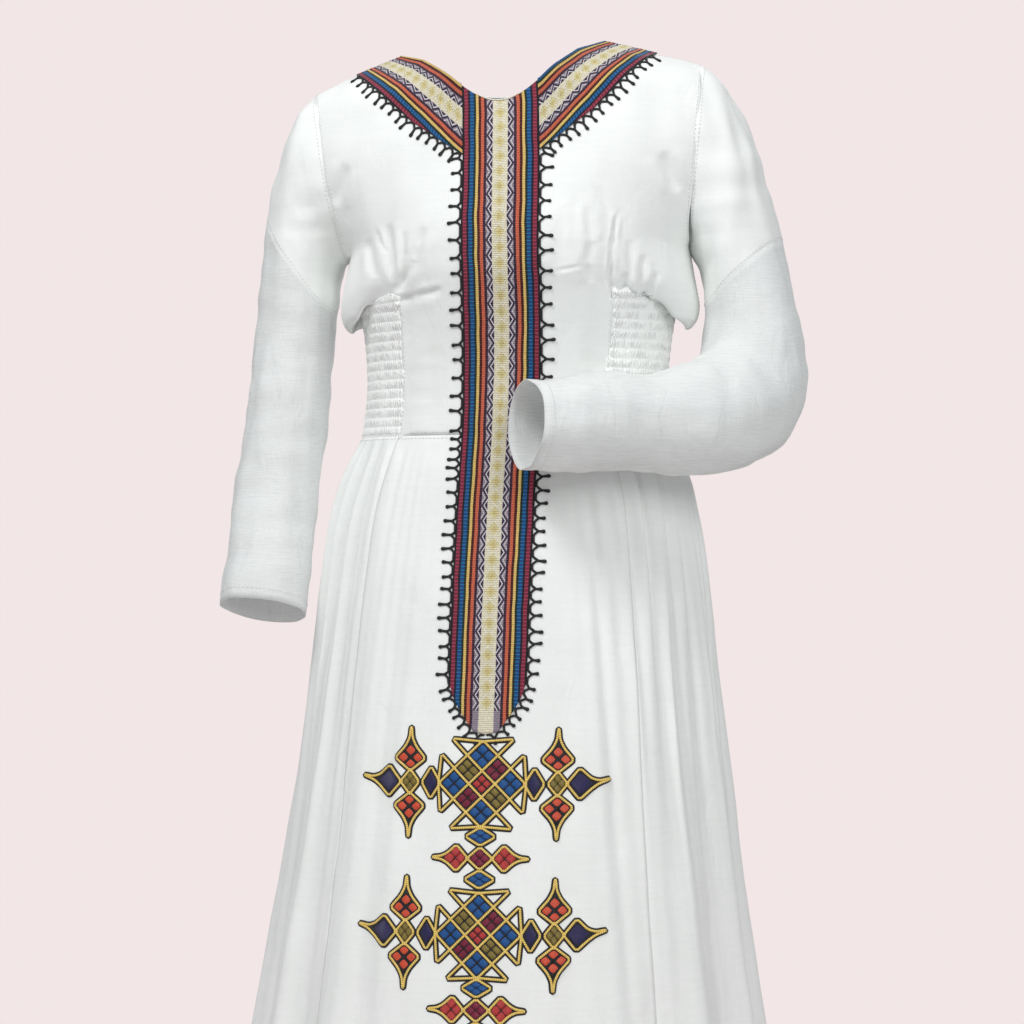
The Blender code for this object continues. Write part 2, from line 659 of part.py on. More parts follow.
def centre_trim(bodice, skirt):
    """The band down the centre front, from the neckline over the waist seam to its round end."""
    half = TRIM_WIDTH / 2
    lines = [((half, 0), (1, 0)), ((-half, 0), (-1, 0))]
    for (x0, z0), (x1, z1) in zip(TRIM_END_EDGE, TRIM_END_EDGE[1:]):
        lines += [((side * x0, z0), (side * (z0 - z1), x1 - x0)) for side in (-1, 1)]
    pattern, points, normals = skirt
    waist = {round(p[0] * 1e4): i for i, p in enumerate(bodice.pattern) if abs(p[2] - WAIST_SEAM) < 1e-6}
    for c in range(1, points.shape[1] - 1):
        nearest = min(waist, key=lambda key: abs(key * 1e-4 - pattern[-1, c, 0]))
        points[-1, c] = bodice.points[waist[nearest]]
        normals[-1, c] = bodice.directions[waist[nearest]]
        pattern[-1, c] = bodice.pattern[waist[nearest]]
    below = joined_sheet([(pattern, points, normals, None, False)])
    number = {tuple(np.round(p * 1e6).astype(int)): i for i, p in enumerate(bodice.points)}
    moved, whole = [], Sheet(list(bodice.pattern), list(bodice.points), list(bodice.directions), list(bodice.faces))
    for flat, point, direction in zip(below.pattern, below.points, below.directions):
        key = tuple(np.round(point * 1e6).astype(int))
        if key in number:
            moved.append(number[key])
        else:
            moved.append(len(whole.points))
            whole.pattern.append(flat)
            whole.points.append(point)
            whole.directions.append(direction)
    whole.faces.extend(tuple(moved[i] for i in face) for face in below.faces)
    return trim("centre_tibeb", whole, lines)


def neck_trim(name, bodice, side):
    """The band from the centre trim up to the shoulder seam."""
    lines = [((side * (TRIM_WIDTH / 2 + SEAM_GAP), 0), (-side, 0))]
    for (x0, z0), (x1, z1) in zip(NECK_TRIM_EDGE, NECK_TRIM_EDGE[1:]):
        lines.append(((side * x0, z0), (side * (z1 - z0), -(x1 - x0))))
    return trim(name, bodice, lines)


def clear_scene():
    """Removes what the new file starts with."""
    for thing in list(bpy.data.objects):
        bpy.data.objects.remove(thing)


def main():
    """Builds every sewn piece."""
    clear_scene()
    right = sleeve_and_armhole(-1, HANGING_SLEEVE)
    left = sleeve_and_armhole(1, BENT_SLEEVE)
    directions = {(side, face): made[2][face] for side, made in ((-1, right), (1, left)) for face in (-1, 1)}
    front = bodice_sheet(-1, directions)
    wall("front_bodice", front, -CLOTH, 0.0, WHITE)
    wall("back_bodice", bodice_sheet(1, directions), -CLOTH, 0.0, WHITE)
    make_sleeves("right", right[0], right[1], -1)
    make_sleeves("left", left[0], left[1], 1)
    smocked_side("right_smocked_waist", -1)
    smocked_side("left_smocked_waist", 1)
    gather_columns = GATHERS_A_SIDE * COLUMNS_A_GATHER
    front_skirt = skirt_sheet(-PRINCESS_DEG, PRINCESS_DEG, MIDDLE_SKIRT_COLUMNS, False)
    panel("front_skirt", front_skirt)
    panel("left_side_skirt", skirt_sheet(PRINCESS_DEG, 180 - PRINCESS_DEG, gather_columns, True))
    panel("back_skirt", skirt_sheet(180 - PRINCESS_DEG, 180 + PRINCESS_DEG, MIDDLE_SKIRT_COLUMNS, False))
    panel("right_side_skirt", skirt_sheet(180 + PRINCESS_DEG, 360 - PRINCESS_DEG, gather_columns, True))
    centre_trim(front, front_skirt)
    neck_trim("right_neck_tibeb", front, -1)
    neck_trim("left_neck_tibeb", front, 1)


main()
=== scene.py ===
"""A worn white cotton dress with woven tibeb bands, black edging stitch and cross embroidery."""

from __future__ import annotations

import logging
import math
from collections.abc import Iterator, Sequence
from contextlib import contextmanager
from dataclasses import dataclass, field
from enum import Enum
from typing import Any

import bmesh
import bpy
import numpy as np
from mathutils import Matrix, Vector, noise
from mathutils.bvhtree import BVHTree
from mathutils.kdtree import KDTree


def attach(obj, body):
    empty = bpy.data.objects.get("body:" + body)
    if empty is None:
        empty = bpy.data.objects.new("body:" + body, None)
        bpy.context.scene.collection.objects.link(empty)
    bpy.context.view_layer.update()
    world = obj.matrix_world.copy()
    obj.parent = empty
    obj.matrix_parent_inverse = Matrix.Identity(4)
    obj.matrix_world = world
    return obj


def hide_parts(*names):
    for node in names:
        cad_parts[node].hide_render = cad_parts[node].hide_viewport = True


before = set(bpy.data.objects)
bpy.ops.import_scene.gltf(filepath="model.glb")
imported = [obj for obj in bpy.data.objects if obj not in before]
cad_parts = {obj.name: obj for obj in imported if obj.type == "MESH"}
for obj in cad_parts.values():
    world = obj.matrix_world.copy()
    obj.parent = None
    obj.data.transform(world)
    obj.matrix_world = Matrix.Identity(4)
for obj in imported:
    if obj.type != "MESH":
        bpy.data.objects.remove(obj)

LOG = logging.getLogger("dress")

BODY = "root"
SIDE_LINE_Y = 0.008
WAIST_SEAM = -0.412
SMOCK_TOP = -0.270
HEM = -1.350
CLOTH = 0.0014
GAUZE = 0.0009

# How far a border reaches past its node's, and how far a seam allowance lies below the face of the cloth
SEAM_REACH = 0.00012
ALLOWANCE_UNDER = 0.0021
ARMHOLE_UNDER = 0.0034
ARMHOLE_X = 0.160
ARMHOLE_HEIGHTS = (-0.235, -0.050)

# Sideways lean of the worn dress by height, and the tilt of its shoulders, as in the frame
LEAN = ((0.00, -0.011), (-0.05, -0.002), (-0.12, 0.003), (-0.24, 0.006), (-0.41, 0.003), (-0.60, -0.002),
        (-0.90, -0.005), (-1.35, -0.007))
SHOULDER_TILT = 0.045
TILT_ENDS = (WAIST_SEAM, -0.060)


def ease(value: np.ndarray | float, low: float, high: float) -> Any:
    """Gives 0 below low, 1 above high and a soft step between.

    Args:
        value: A number or an array of them.
        low: Where the step starts.
        high: Where the step ends.

    Returns:
        The step's value, of the same kind as value.
    """
    t = np.clip((value - low) / (high - low), 0.0, 1.0)
    return t * t * (3 - 2 * t)


def worn(x: float, z: float) -> tuple[float, float]:
    """Turns a place on the upright pattern into its place on the worn dress.

    Args:
        x: Distance to the wearer's left of the centre line.
        z: Height.

    Returns:
        The worn x and z.
    """
    heights = np.array([row[0] for row in LEAN])[::-1]
    shifts = np.array([row[1] for row in LEAN])[::-1]
    slopes = np.gradient(shifts, heights)
    i = int(np.clip(np.searchsorted(heights, z) - 1, 0, len(heights) - 2))
    span = heights[i + 1] - heights[i]
    t = float(np.clip((z - heights[i]) / span, 0, 1))
    shift = (1 + 2 * t) * (1 - t) ** 2 * shifts[i] + t * (1 - t) ** 2 * span * slopes[i]
    shift += t * t * (3 - 2 * t) * shifts[i + 1] + t * t * (t - 1) * span * slopes[i + 1]
    x += float(shift)
    return x, z + SHOULDER_TILT * x * float(ease(z, *TILT_ENDS))


def linear(red: int, green: int, blue: int) -> tuple[float, float, float, float]:
    """Turns a colour of 0 to 255 a channel into the linear colour that a shader takes."""
    parts = [c / 255 for c in (red, green, blue)]
    parts = [c / 12.92 if c <= 0.04045 else ((c + 0.055) / 1.055) ** 2.4 for c in parts]
    return parts[0], parts[1], parts[2], 1.0


# Node trees


@dataclass
class Graph:
    """Short ways to add nodes to one node tree and to join them."""

    tree: bpy.types.NodeTree

    def node(self, kind: str, **settings: Any) -> bpy.types.Node:
        """Adds a node of a kind with its settings."""
        new = self.tree.nodes.new(kind)
        for name, value in settings.items():
            setattr(new, name, value)
        return new

    def feed(self, socket: bpy.types.NodeSocket, value: Any) -> None:
        """Joins another socket to this one, or sets its plain value."""
        if isinstance(value, bpy.types.NodeSocket):
            self.tree.links.new(value, socket)
        elif value is not None:
            socket.default_value = value

    def math(self, operation: str, first: Any, second: Any = None, third: Any = None) -> bpy.types.NodeSocket:
        """Adds a math node.

        Args:
            operation: Blender's name of the operation.
            first: A socket or a number, as are second and third.
            second: The second value, where the operation has one.
            third: The third value, where the operation has one.

        Returns:
            The node's value.
        """
        new = self.node("ShaderNodeMath", operation=operation)
        for socket, value in zip(new.inputs, (first, second, third)):
            self.feed(socket, value)
        return new.outputs[0]

    def mix(self, factor: Any, first: Any, second: Any, blend: str = "MIX") -> bpy.types.NodeSocket:
        """Adds a node that mixes two colours.

        Args:
            factor: How much of the second colour.
            first: The first colour.
            second: The second colour.
            blend: Blender's name of the way to mix.

        Returns:
            The mixed colour.
        """
        new = self.node("ShaderNodeMix", data_type="RGBA", blend_type=blend)
        for place, value in ((0, factor), (6, first), (7, second)):
            self.feed(new.inputs[place], value)
        return new.outputs[2]

    def between(self, value: Any, low: float, high: float, out_low: float = 0.0,
                out_high: float = 1.0) -> Any:
        """Adds a soft step that maps low to high onto out_low to out_high."""
        new = self.node("ShaderNodeMapRange", interpolation_type="SMOOTHSTEP")
        for socket, number in zip(new.inputs, (value, low, high, out_low, out_high)):
            self.feed(socket, number)
        return new.outputs[0]

    def stretched(self, vector: Any, factors: tuple[float, float, float]) -> bpy.types.NodeSocket:
        """Scales a vector's parts by three numbers."""
        new = self.node("ShaderNodeVectorMath", operation="MULTIPLY")
        self.feed(new.inputs[0], vector)
        self.feed(new.inputs[1], factors)
        return new.outputs[0]

    def grain(self, vector: Any, scale: Any, detail: float = 2.0,
              distortion: float = 0.0) -> bpy.types.NodeSocket:
        """Adds a noise texture and gives its value."""
        new = self.node("ShaderNodeTexNoise")
        values = {"Vector": vector, "Scale": scale, "Detail": detail, "Distortion": distortion}
        for name, value in values.items():
            self.feed(new.inputs[name], value)
        return new.outputs["Fac"]

    def parts(self, vector: Any) -> tuple[Any, Any, Any]:
        """Separates a vector into X, Y and Z."""
        new = self.node("ShaderNodeSeparateXYZ")
        self.feed(new.inputs[0], vector)
        return new.outputs[0], new.outputs[1], new.outputs[2]

    def placed(self, group: bpy.types.NodeTree, **inputs: Any) -> dict[str, bpy.types.NodeSocket]:
        """Places a node group with its values, and gives its outputs by name."""
        new = self.node("ShaderNodeGroup", node_tree=group)
        for name, value in inputs.items():
            self.feed(new.inputs[name], value)
        return {socket.name: socket for socket in new.outputs}


def new_group(name: str, inputs: dict[str, Any],
              outputs: dict[str, str]) -> tuple[Graph, dict[str, Any], Any]:
    """Starts a shader node group.

    Args:
        name: The group's name.
        inputs: Each input's name, with its default number or "vector".
        outputs: Each output's name, with "value" or "colour".

    Returns:
        The graph, the group's input values by name, and the output node.
    """
    kinds = {"vector": "NodeSocketVector", "colour": "NodeSocketColor", "value": "NodeSocketFloat"}
    tree = bpy.data.node_groups.new(name, "ShaderNodeTree")
    for label, default in inputs.items():
        kind = kinds.get(default, "NodeSocketFloat") if isinstance(default, str) else "NodeSocketFloat"
        socket = tree.interface.new_socket(label, in_out="INPUT", socket_type=kind)
        if not isinstance(default, str):
            socket.default_value = default
    for label, kind in outputs.items():
        tree.interface.new_socket(label, in_out="OUTPUT", socket_type=kinds[kind])
    graph = Graph(tree)
    given = graph.node("NodeGroupInput")
    return graph, {socket.name: socket for socket in given.outputs}, graph.node("NodeGroupOutput")


class Patterns:
    """The node groups that the finishes share, each built once."""

    def __init__(self) -> None:
        """Builds every group."""
        self.weave = self._weave()
        self.creases = self._creases()
        self.ribs = self._ribs()
        self.zigzag = self._zigzag()
        self.lattice = self._lattice()
        self.twist = self._twist()
        self.puffs = self._puffs()

    @staticmethod
    def _weave() -> bpy.types.NodeTree:
        """Plain hand weave: slubby warp threads that run down and weft threads that run across."""
        graph, given, out = new_group("Plain weave", {"Place": "vector", "Thread": 0.0006},
                                      {"Height": "value", "Slub": "value"})
        per_metre = graph.math("DIVIDE", 1.0, given["Thread"])
        warp = graph.grain(graph.stretched(given["Place"], (1.0, 1.0, 0.045)), per_metre, 1.0)
        weft = graph.grain(graph.stretched(given["Place"], (0.045, 0.045, 1.0)), per_metre, 1.0)
        coarse = graph.math("MULTIPLY", per_metre, 0.22)
        slub = graph.grain(graph.stretched(given["Place"], (0.10, 0.10, 1.0)), coarse, 2.0)
        height = graph.math("MULTIPLY_ADD", slub, 0.25, graph.math("ADD", warp, weft))
        graph.feed(out.inputs["Height"], graph.math("MULTIPLY", height, 0.44))
        graph.feed(out.inputs["Slub"], graph.between(graph.math("ADD", slub, warp), 0.75, 1.30))
        return graph.tree

    @staticmethod
    def _creases() -> bpy.types.NodeTree:
        """Small soft crumples of washed cotton."""
        graph, given, out = new_group("Soft crumples", {"Place": "vector", "Size": 0.03}, {"Height": "value"})
        scale = graph.math("DIVIDE", 1.0, given["Size"])
        soft = graph.grain(graph.stretched(given["Place"], (1.0, 1.0, 0.45)), scale, 3.0, 0.6)
        folded = graph.math("ABSOLUTE", graph.math("MULTIPLY_ADD", soft, 2.0, -1.0))
        graph.feed(out.inputs["Height"], graph.math("MULTIPLY_ADD", folded, -0.55, soft))
        return graph.tree

    @staticmethod
    def _ribs() -> bpy.types.NodeTree:
        """Ribs of packed weft across a band, with the groove between two ribs."""
        graph, given, out = new_group("Weft ribs", {"Along": 0.0, "Period": 0.0021},
                                      {"Height": "value", "Groove": "value", "Tick": "value"})
        turn = graph.math("DIVIDE", given["Along"], given["Period"])
        wave = graph.math("SINE", graph.math("MULTIPLY", turn, math.tau))
        slow = graph.math("SINE", graph.math("MULTIPLY", turn, math.pi))
        graph.feed(out.inputs["Height"], graph.math("MULTIPLY_ADD", wave, 0.5, 0.5))
        graph.feed(out.inputs["Groove"], graph.between(wave, -0.35, -0.95))
        graph.feed(out.inputs["Tick"], graph.between(slow, 0.35, 0.75))
        return graph.tree

    @staticmethod
    def _zigzag() -> bpy.types.NodeTree:
        """A dark zigzag thread, with a light chevron and a dark eye in each bend."""
        graph, given, out = new_group("Crossed zigzag", {"Across": 0.0, "Along": 0.0, "Period": 0.0156},
                                      {"Dark": "value", "Light": "value"})
        turn = graph.math("FRACT", graph.math("DIVIDE", given["Along"], given["Period"]))
        peak = graph.math("ABSOLUTE", graph.math("MULTIPLY_ADD", turn, 2.0, -1.0))
        inside = graph.math("SUBTRACT", graph.math("MULTIPLY_ADD", peak, 0.78, 0.10), given["Across"])
        thread = graph.between(graph.math("ABSOLUTE", inside), 0.17, 0.10)
        eye = graph.math("MULTIPLY", graph.between(inside, 0.36, 0.42),
                         graph.between(given["Across"], 0.07, 0.13))
        graph.feed(out.inputs["Dark"], graph.math("MAXIMUM", thread, eye))
        chevron = graph.between(graph.math("ABSOLUTE", graph.math("SUBTRACT", inside, 0.27)), 0.12, 0.06)
        outer = graph.between(graph.math("ABSOLUTE", graph.math("ADD", inside, 0.42)), 0.10, 0.04)
        graph.feed(out.inputs["Light"], graph.math("MAXIMUM", chevron, outer))
        return graph.tree

    @staticmethod
    def _lattice() -> bpy.types.NodeTree:
        """A chain of rhombs between crossed threads down the middle of a band."""
        graph, given, out = new_group("Rhomb chain", {"Across": 0.0, "Along": 0.0, "Period": 0.0156},
                                      {"Rhomb": "value", "Core": "value", "Line": "value"})
        turn = graph.math("FRACT", graph.math("DIVIDE", given["Along"], given["Period"]))
        from_middle = graph.math("ABSOLUTE", graph.math("MULTIPLY_ADD", turn, 2.0, -1.0))
        aside = graph.math("MULTIPLY", graph.math("ABSOLUTE", given["Across"]), 1.15)
        reach = graph.math("ADD", from_middle, aside)
        graph.feed(out.inputs["Rhomb"], graph.between(reach, 0.96, 0.84))
        graph.feed(out.inputs["Core"], graph.between(reach, 0.56, 0.30))
        away = graph.math("ABSOLUTE", graph.math("SUBTRACT", reach, 0.98))
        graph.feed(out.inputs["Line"], graph.between(away, 0.15, 0.06))
        return graph.tree

    @staticmethod
    def _puffs() -> bpy.types.NodeTree:
        """Small upright puffs between the rows of elastic round the waist, shifted from row to row."""
        graph, given, out = new_group("Elastic puffs", {"Place": "vector", "Width": 0.0034, "Row": 0.0098},
                                      {"Height": "value"})
        x, y, z = graph.parts(given["Place"])
        turn = graph.math("ARCTAN2", x, graph.math("SUBTRACT", SIDE_LINE_Y, y))
        row = graph.math("DIVIDE", graph.math("SUBTRACT", z, WAIST_SEAM), given["Row"])
        belly = graph.math("SINE", graph.math("MULTIPLY", graph.math("FRACT", row), math.pi))
        stray = graph.math("MULTIPLY_ADD", graph.grain(given["Place"], 130.0, 2.0), 7.0,
                           graph.math("MULTIPLY", graph.math("FLOOR", row), 2.4))
        turns = graph.math("DIVIDE", graph.math("MULTIPLY", turn, 0.14 * math.tau), given["Width"])
        wave = graph.math("MULTIPLY_ADD", graph.math("SINE", graph.math("ADD", turns, stray)), 0.5, 0.5)
        uneven = graph.between(graph.grain(given["Place"], 90.0, 1.0), 0.35, 0.62, 0.35, 1.0)
        graph.feed(out.inputs["Height"], graph.math("MULTIPLY", graph.math("MULTIPLY", wave, belly), uneven))
        return graph.tree

    @staticmethod
    def _twist() -> bpy.types.NodeTree:
        """The slanted plies of a twisted thread, from how far along and how far round a point is."""
        graph, given, out = new_group("Thread twist", {"Along": 0.0, "Round": 0.0, "Pitch": 0.003},
                                      {"Height": "value", "Groove": "value"})
        turn = graph.math("ADD", graph.math("DIVIDE", given["Along"], given["Pitch"]), given["Round"])
        wave = graph.math("SINE", graph.math("MULTIPLY", turn, math.tau))
        graph.feed(out.inputs["Height"], graph.math("MULTIPLY_ADD", wave, 0.5, 0.5))
        graph.feed(out.inputs["Groove"], graph.between(wave, -0.2, -0.9))
        return graph.tree


# Finishes


def new_material(name: str, roughness: float) -> tuple[bpy.types.Material, Graph, bpy.types.Node]:
    """Starts a material.

    Args:
        name: The material's name.
        roughness: Its plain roughness.

    Returns:
        The material, its graph and its shader.
    """
    material = bpy.data.materials.new(name)
    material.use_nodes = True
    graph = Graph(material.node_tree)
    shader = material.node_tree.nodes["Principled BSDF"]
    shader.inputs["Roughness"].default_value = roughness
    return material, graph, shader


def raise_surface(graph: Graph, shader: bpy.types.Node, heights: Sequence[tuple[Any, float]]) -> None:
    """Chains bump nodes into a shader's normal.

    Args:
        graph: The material's graph.
        shader: Its shader.
        heights: Each height and the distance in metres that it stands for.
    """
    last = None
    for height, distance in heights:
        bump = graph.node("ShaderNodeBump")
        bump.inputs["Strength"].default_value = 1.0
        bump.inputs["Distance"].default_value = distance
        graph.feed(bump.inputs["Height"], height)
        graph.feed(bump.inputs["Normal"], last)
        last = bump.outputs["Normal"]
    graph.feed(shader.inputs["Normal"], last)


@dataclass(frozen=True)
class Cotton:
    """Plain woven white cotton."""

    name: str = "washed cotton"
    light: tuple[int, int, int] = (246, 248, 246)
    dark: tuple[int, int, int] = (234, 237, 234)
    thread: float = 0.0007
    crumple: float = 0.034
    crumple_depth: float = 0.0011
    sheerness: float = 0.0
    puffs: float = 0.0

    def build(self, patterns: Patterns) -> bpy.types.Material:
        """Makes the material.

        Args:
            patterns: The shared node groups.

        Returns:
            The material.
        """
        material, graph, shader = new_material(self.name, 0.82)
        place = graph.node("ShaderNodeTexCoord").outputs["Object"]
        weave = graph.placed(patterns.weave, Place=place, Thread=self.thread)
        crumple = graph.placed(patterns.creases, Place=place, Size=self.crumple)["Height"]
        tone = graph.between(graph.grain(place, 9.0, 3.0), 0.35, 0.65)
        share = graph.math("MULTIPLY_ADD", weave["Slub"], 0.25, graph.math("MULTIPLY", tone, 0.30))
        graph.feed(shader.inputs["Base Color"], graph.mix(share, linear(*self.light), linear(*self.dark)))
        graph.feed(shader.inputs["Roughness"], graph.math("MULTIPLY_ADD", weave["Slub"], 0.12, 0.76))
        shader.inputs["Sheen Weight"].default_value = 0.12
        shader.inputs["Sheen Roughness"].default_value = 0.5
        shader.inputs["Specular IOR Level"].default_value = 0.25
        if self.sheerness:
            open_mesh = graph.math("MULTIPLY", weave["Height"], 1.2)
            solid = graph.between(open_mesh, 0.15, 0.85, 1.0 - self.sheerness * 1.4,
                                  1.0 - self.sheerness * 0.5)
            graph.feed(shader.inputs["Alpha"], solid)
        heights = [(crumple, self.crumple_depth), (weave["Height"], self.thread * 0.30)]
        if self.puffs:
            heights.insert(0, (graph.placed(patterns.puffs, Place=place)["Height"], self.puffs))
        raise_surface(graph, shader, heights)
        return material


class Stripe(Enum):
    """How a stripe of the woven band is patterned."""

    PLAIN = "plain"
    CORD = "cord"
    TICKED = "ticked"
    ZIGZAG = "zigzag"
    RHOMBS = "rhombs"


@dataclass(frozen=True)
class StripeRow:
    """One stripe of half the band, out to a share of the half width."""

    out_to: float
    kind: Stripe
    colour: tuple[int, int, int]
    other: tuple[int, int, int]


# Each row's other colour is its second thread colour; for the cord rows it is painted shade, mixed into the
# grooves between their ribs.
TIBEB_STRIPES = (
    StripeRow(0.190, Stripe.RHOMBS, (240, 232, 206), (214, 198, 138)),
    StripeRow(0.350, Stripe.ZIGZAG, (150, 138, 152), (40, 28, 66)),
    StripeRow(0.418, Stripe.TICKED, (70, 36, 62), (26, 16, 28)),
    StripeRow(0.500, Stripe.CORD, (222, 112, 80), (170, 62, 48)),
    StripeRow(0.568, Stripe.TICKED, (92, 22, 18), (20, 10, 10)),
    StripeRow(0.640, Stripe.CORD, (240, 206, 122), (206, 158, 76)),
    StripeRow(0.700, Stripe.TICKED, (22, 54, 36), (12, 18, 16)),
    StripeRow(0.795, Stripe.TICKED, (20, 104, 166), (12, 52, 100)),
    StripeRow(0.848, Stripe.PLAIN, (18, 18, 34), (14, 12, 18)),
    StripeRow(0.948, Stripe.TICKED, (164, 54, 80), (104, 28, 50)),
    StripeRow(1.100, Stripe.PLAIN, (20, 14, 22), (14, 10, 16)),
)


@dataclass(frozen=True)
class Tibeb:
    """The woven band: coloured stripes with crossed zigzags and a chain of rhombs down its middle."""

    name: str = "tibeb weave"
    half_width: float = 0.039
    period: float = 0.0156
    rib: float = 0.0018
    plain_below: float = -0.686

    def _ramp(self, graph: Graph, share: Any, colours: Sequence[tuple[float, Any]]) -> bpy.types.NodeSocket:
        """Adds a ramp of stripes.

        Args:
            graph: The material's graph.
            share: How far out a point is, from 0 to 1.
            colours: Where each stripe starts, and its colour.

        Returns:
            The stripe's colour.
        """
        new = graph.node("ShaderNodeValToRGB")
        new.color_ramp.interpolation = "CONSTANT"
        while len(new.color_ramp.elements) < len(colours):
            new.color_ramp.elements.new(0.5)
        for element, (start, colour) in zip(new.color_ramp.elements, colours):
            element.position = start
        for element, (start, colour) in zip(new.color_ramp.elements, colours):
            element.position, element.color = start, colour
        graph.feed(new.inputs[0], share)
        return new.outputs["Color"]

    def build(self, patterns: Patterns) -> bpy.types.Material:
        """Makes the material.

        Args:
            patterns: The shared node groups.

        Returns:
            The material.
        """
        material, graph, shader = new_material(self.name, 0.7)
        across, along, _ = graph.parts(graph.node("ShaderNodeUVMap", uv_map="Weave").outputs[0])
        place = graph.node("ShaderNodeTexCoord").outputs["Object"]
        stray = graph.math("MULTIPLY_ADD", graph.grain(place, 38.0, 1.0), 0.0016, -0.0008)
        wander = graph.math("ADD", across, stray)
        share = graph.math("DIVIDE", graph.math("ABSOLUTE", wander), self.half_width)
        starts = [0.0] + [row.out_to for row in TIBEB_STRIPES[:-1]]
        scaled = graph.math("DIVIDE", share, 1.1)
        main, other, kinds = [
            self._ramp(graph, scaled, [(start / 1.1, value(row))
                                       for start, row in zip(starts, TIBEB_STRIPES)])
            for value in (
                lambda row: linear(*row.colour),
                lambda row: linear(*row.other),
                lambda row: (float(row.kind is Stripe.TICKED), float(row.kind is Stripe.CORD),
                             float(row.kind is Stripe.ZIGZAG), 1.0),
            )
        ]
        split = graph.node("ShaderNodeSeparateColor")
        graph.feed(split.inputs[0], kinds)
        ticked, corded, zigzagged = split.outputs[0], split.outputs[1], split.outputs[2]
        ribs = graph.placed(patterns.ribs, Along=along, Period=self.rib)
        low, high = TIBEB_STRIPES[0].out_to, TIBEB_STRIPES[1].out_to
        inside = graph.math("DIVIDE", graph.math("SUBTRACT", share, low), high - low)
        crossed = graph.placed(patterns.zigzag, Across=inside, Along=along, Period=self.period)
        chain = graph.placed(patterns.lattice, Across=graph.math("DIVIDE", share, low), Along=along,
                             Period=self.period)
        patterned = graph.math("GREATER_THAN", along, self.plain_below)
        in_chain = graph.math("MULTIPLY", graph.math("LESS_THAN", share, low), patterned)
        zigzagged = graph.math("MULTIPLY", zigzagged, patterned)

        colour = graph.mix(graph.math("MULTIPLY", ribs["Tick"], ticked), main, other)
        # Painted shade: in the cord stripes the grooves between the ribs are mixed towards the stripe's darker
        # other colour.
        cord_groove = graph.math("MULTIPLY", graph.math("MULTIPLY", ribs["Groove"], corded), 0.7)
        colour = graph.mix(cord_groove, colour, other)
        colour = graph.mix(graph.math("MULTIPLY", crossed["Light"], zigzagged), colour, linear(232, 226, 226))
        colour = graph.mix(graph.math("MULTIPLY", crossed["Dark"], zigzagged), colour, other)
        colour = graph.mix(graph.math("MULTIPLY", chain["Rhomb"], in_chain), colour, linear(230, 217, 164))
        colour = graph.mix(graph.math("MULTIPLY", chain["Core"], in_chain), colour, other)
        colour = graph.mix(graph.math("MULTIPLY", chain["Line"], in_chain), colour, linear(250, 243, 214))
        # Painted shade: the groove between every two ribs is darkened towards near black.
        groove = graph.math("MULTIPLY", ribs["Groove"], 0.38)
        colour = graph.mix(groove, colour, linear(30, 22, 26))
        fleck = graph.between(graph.grain(place, 900.0, 1.0), 0.35, 0.75, 0.82, 1.12)
        colour = graph.mix(1.0, colour, fleck, "MULTIPLY")
        graph.feed(shader.inputs["Base Color"], colour)
        graph.feed(shader.inputs["Roughness"], graph.math("MULTIPLY_ADD", ribs["Groove"], 0.2, 0.62))
        shader.inputs["Sheen Weight"].default_value = 0.1
        shader.inputs["Specular IOR Level"].default_value = 0.3
        raised = graph.math("ADD", graph.math("MULTIPLY", crossed["Dark"], zigzagged),
                            graph.math("MULTIPLY", chain["Line"], in_chain))
        raise_surface(graph, shader, ((raised, 0.0004), (ribs["Height"], 0.00035)))
        return material


@dataclass(frozen=True)
class Thread:
    """Twisted sewing or embroidery thread."""

    name: str
    colour: tuple[int, int, int]
    shadow: tuple[int, int, int]
    pitch: float = 0.0030
    depth: float = 0.00035
    roughness: float = 0.55

    def build(self, patterns: Patterns) -> bpy.types.Material:
        """Makes the material.

        Args:
            patterns: The shared node groups.

        Returns:
            The material.
        """
        material, graph, shader = new_material(self.name, self.roughness)
        along, around, _ = graph.parts(graph.node("ShaderNodeUVMap", uv_map="Weave").outputs[0])
        twist = graph.placed(patterns.twist, Along=along, Round=around, Pitch=self.pitch)
        place = graph.node("ShaderNodeTexCoord").outputs["Object"]
        fleck = graph.between(graph.grain(place, 500.0, 2.0), 0.3, 0.7, 0.0, 0.35)
        # Painted shade: the shadow colour fills the grooves between the plies, and it also darkens random
        # flecks.
        share = graph.math("MAXIMUM", twist["Groove"], fleck)
        graph.feed(shader.inputs["Base Color"], graph.mix(share, linear(*self.colour), linear(*self.shadow)))
        rough = graph.math("MULTIPLY_ADD", twist["Groove"], 0.2, self.roughness)
        graph.feed(shader.inputs["Roughness"], rough)
        shader.inputs["Sheen Weight"].default_value = 0.1
        raise_surface(graph, shader, ((twist["Height"], self.depth),))
        return material


# Making meshes


@contextmanager
def edit_mode(piece: bpy.types.Object) -> Iterator[None]:
    """Opens one piece alone in edit mode with nothing selected, and closes it again."""
    bpy.ops.object.select_all(action="DESELECT")
    bpy.context.view_layer.objects.active = piece
    piece.select_set(True)
    bpy.ops.object.mode_set(mode="EDIT")
    bpy.ops.mesh.select_mode(type="VERT")
    bpy.ops.mesh.select_all(action="DESELECT")
    yield
    bpy.ops.object.mode_set(mode="OBJECT")


def coordinates(mesh: bpy.types.Mesh) -> np.ndarray:
    """A mesh's points as an array of rows."""
    values = np.empty(len(mesh.vertices) * 3)
    mesh.vertices.foreach_get("co", values)
    return values.reshape(-1, 3)


def place_points(mesh: bpy.types.Mesh, points: np.ndarray) -> None:
    """Sets a mesh's points from an array of rows."""
    mesh.vertices.foreach_set("co", np.ascontiguousarray(points, float).ravel())
    mesh.update()


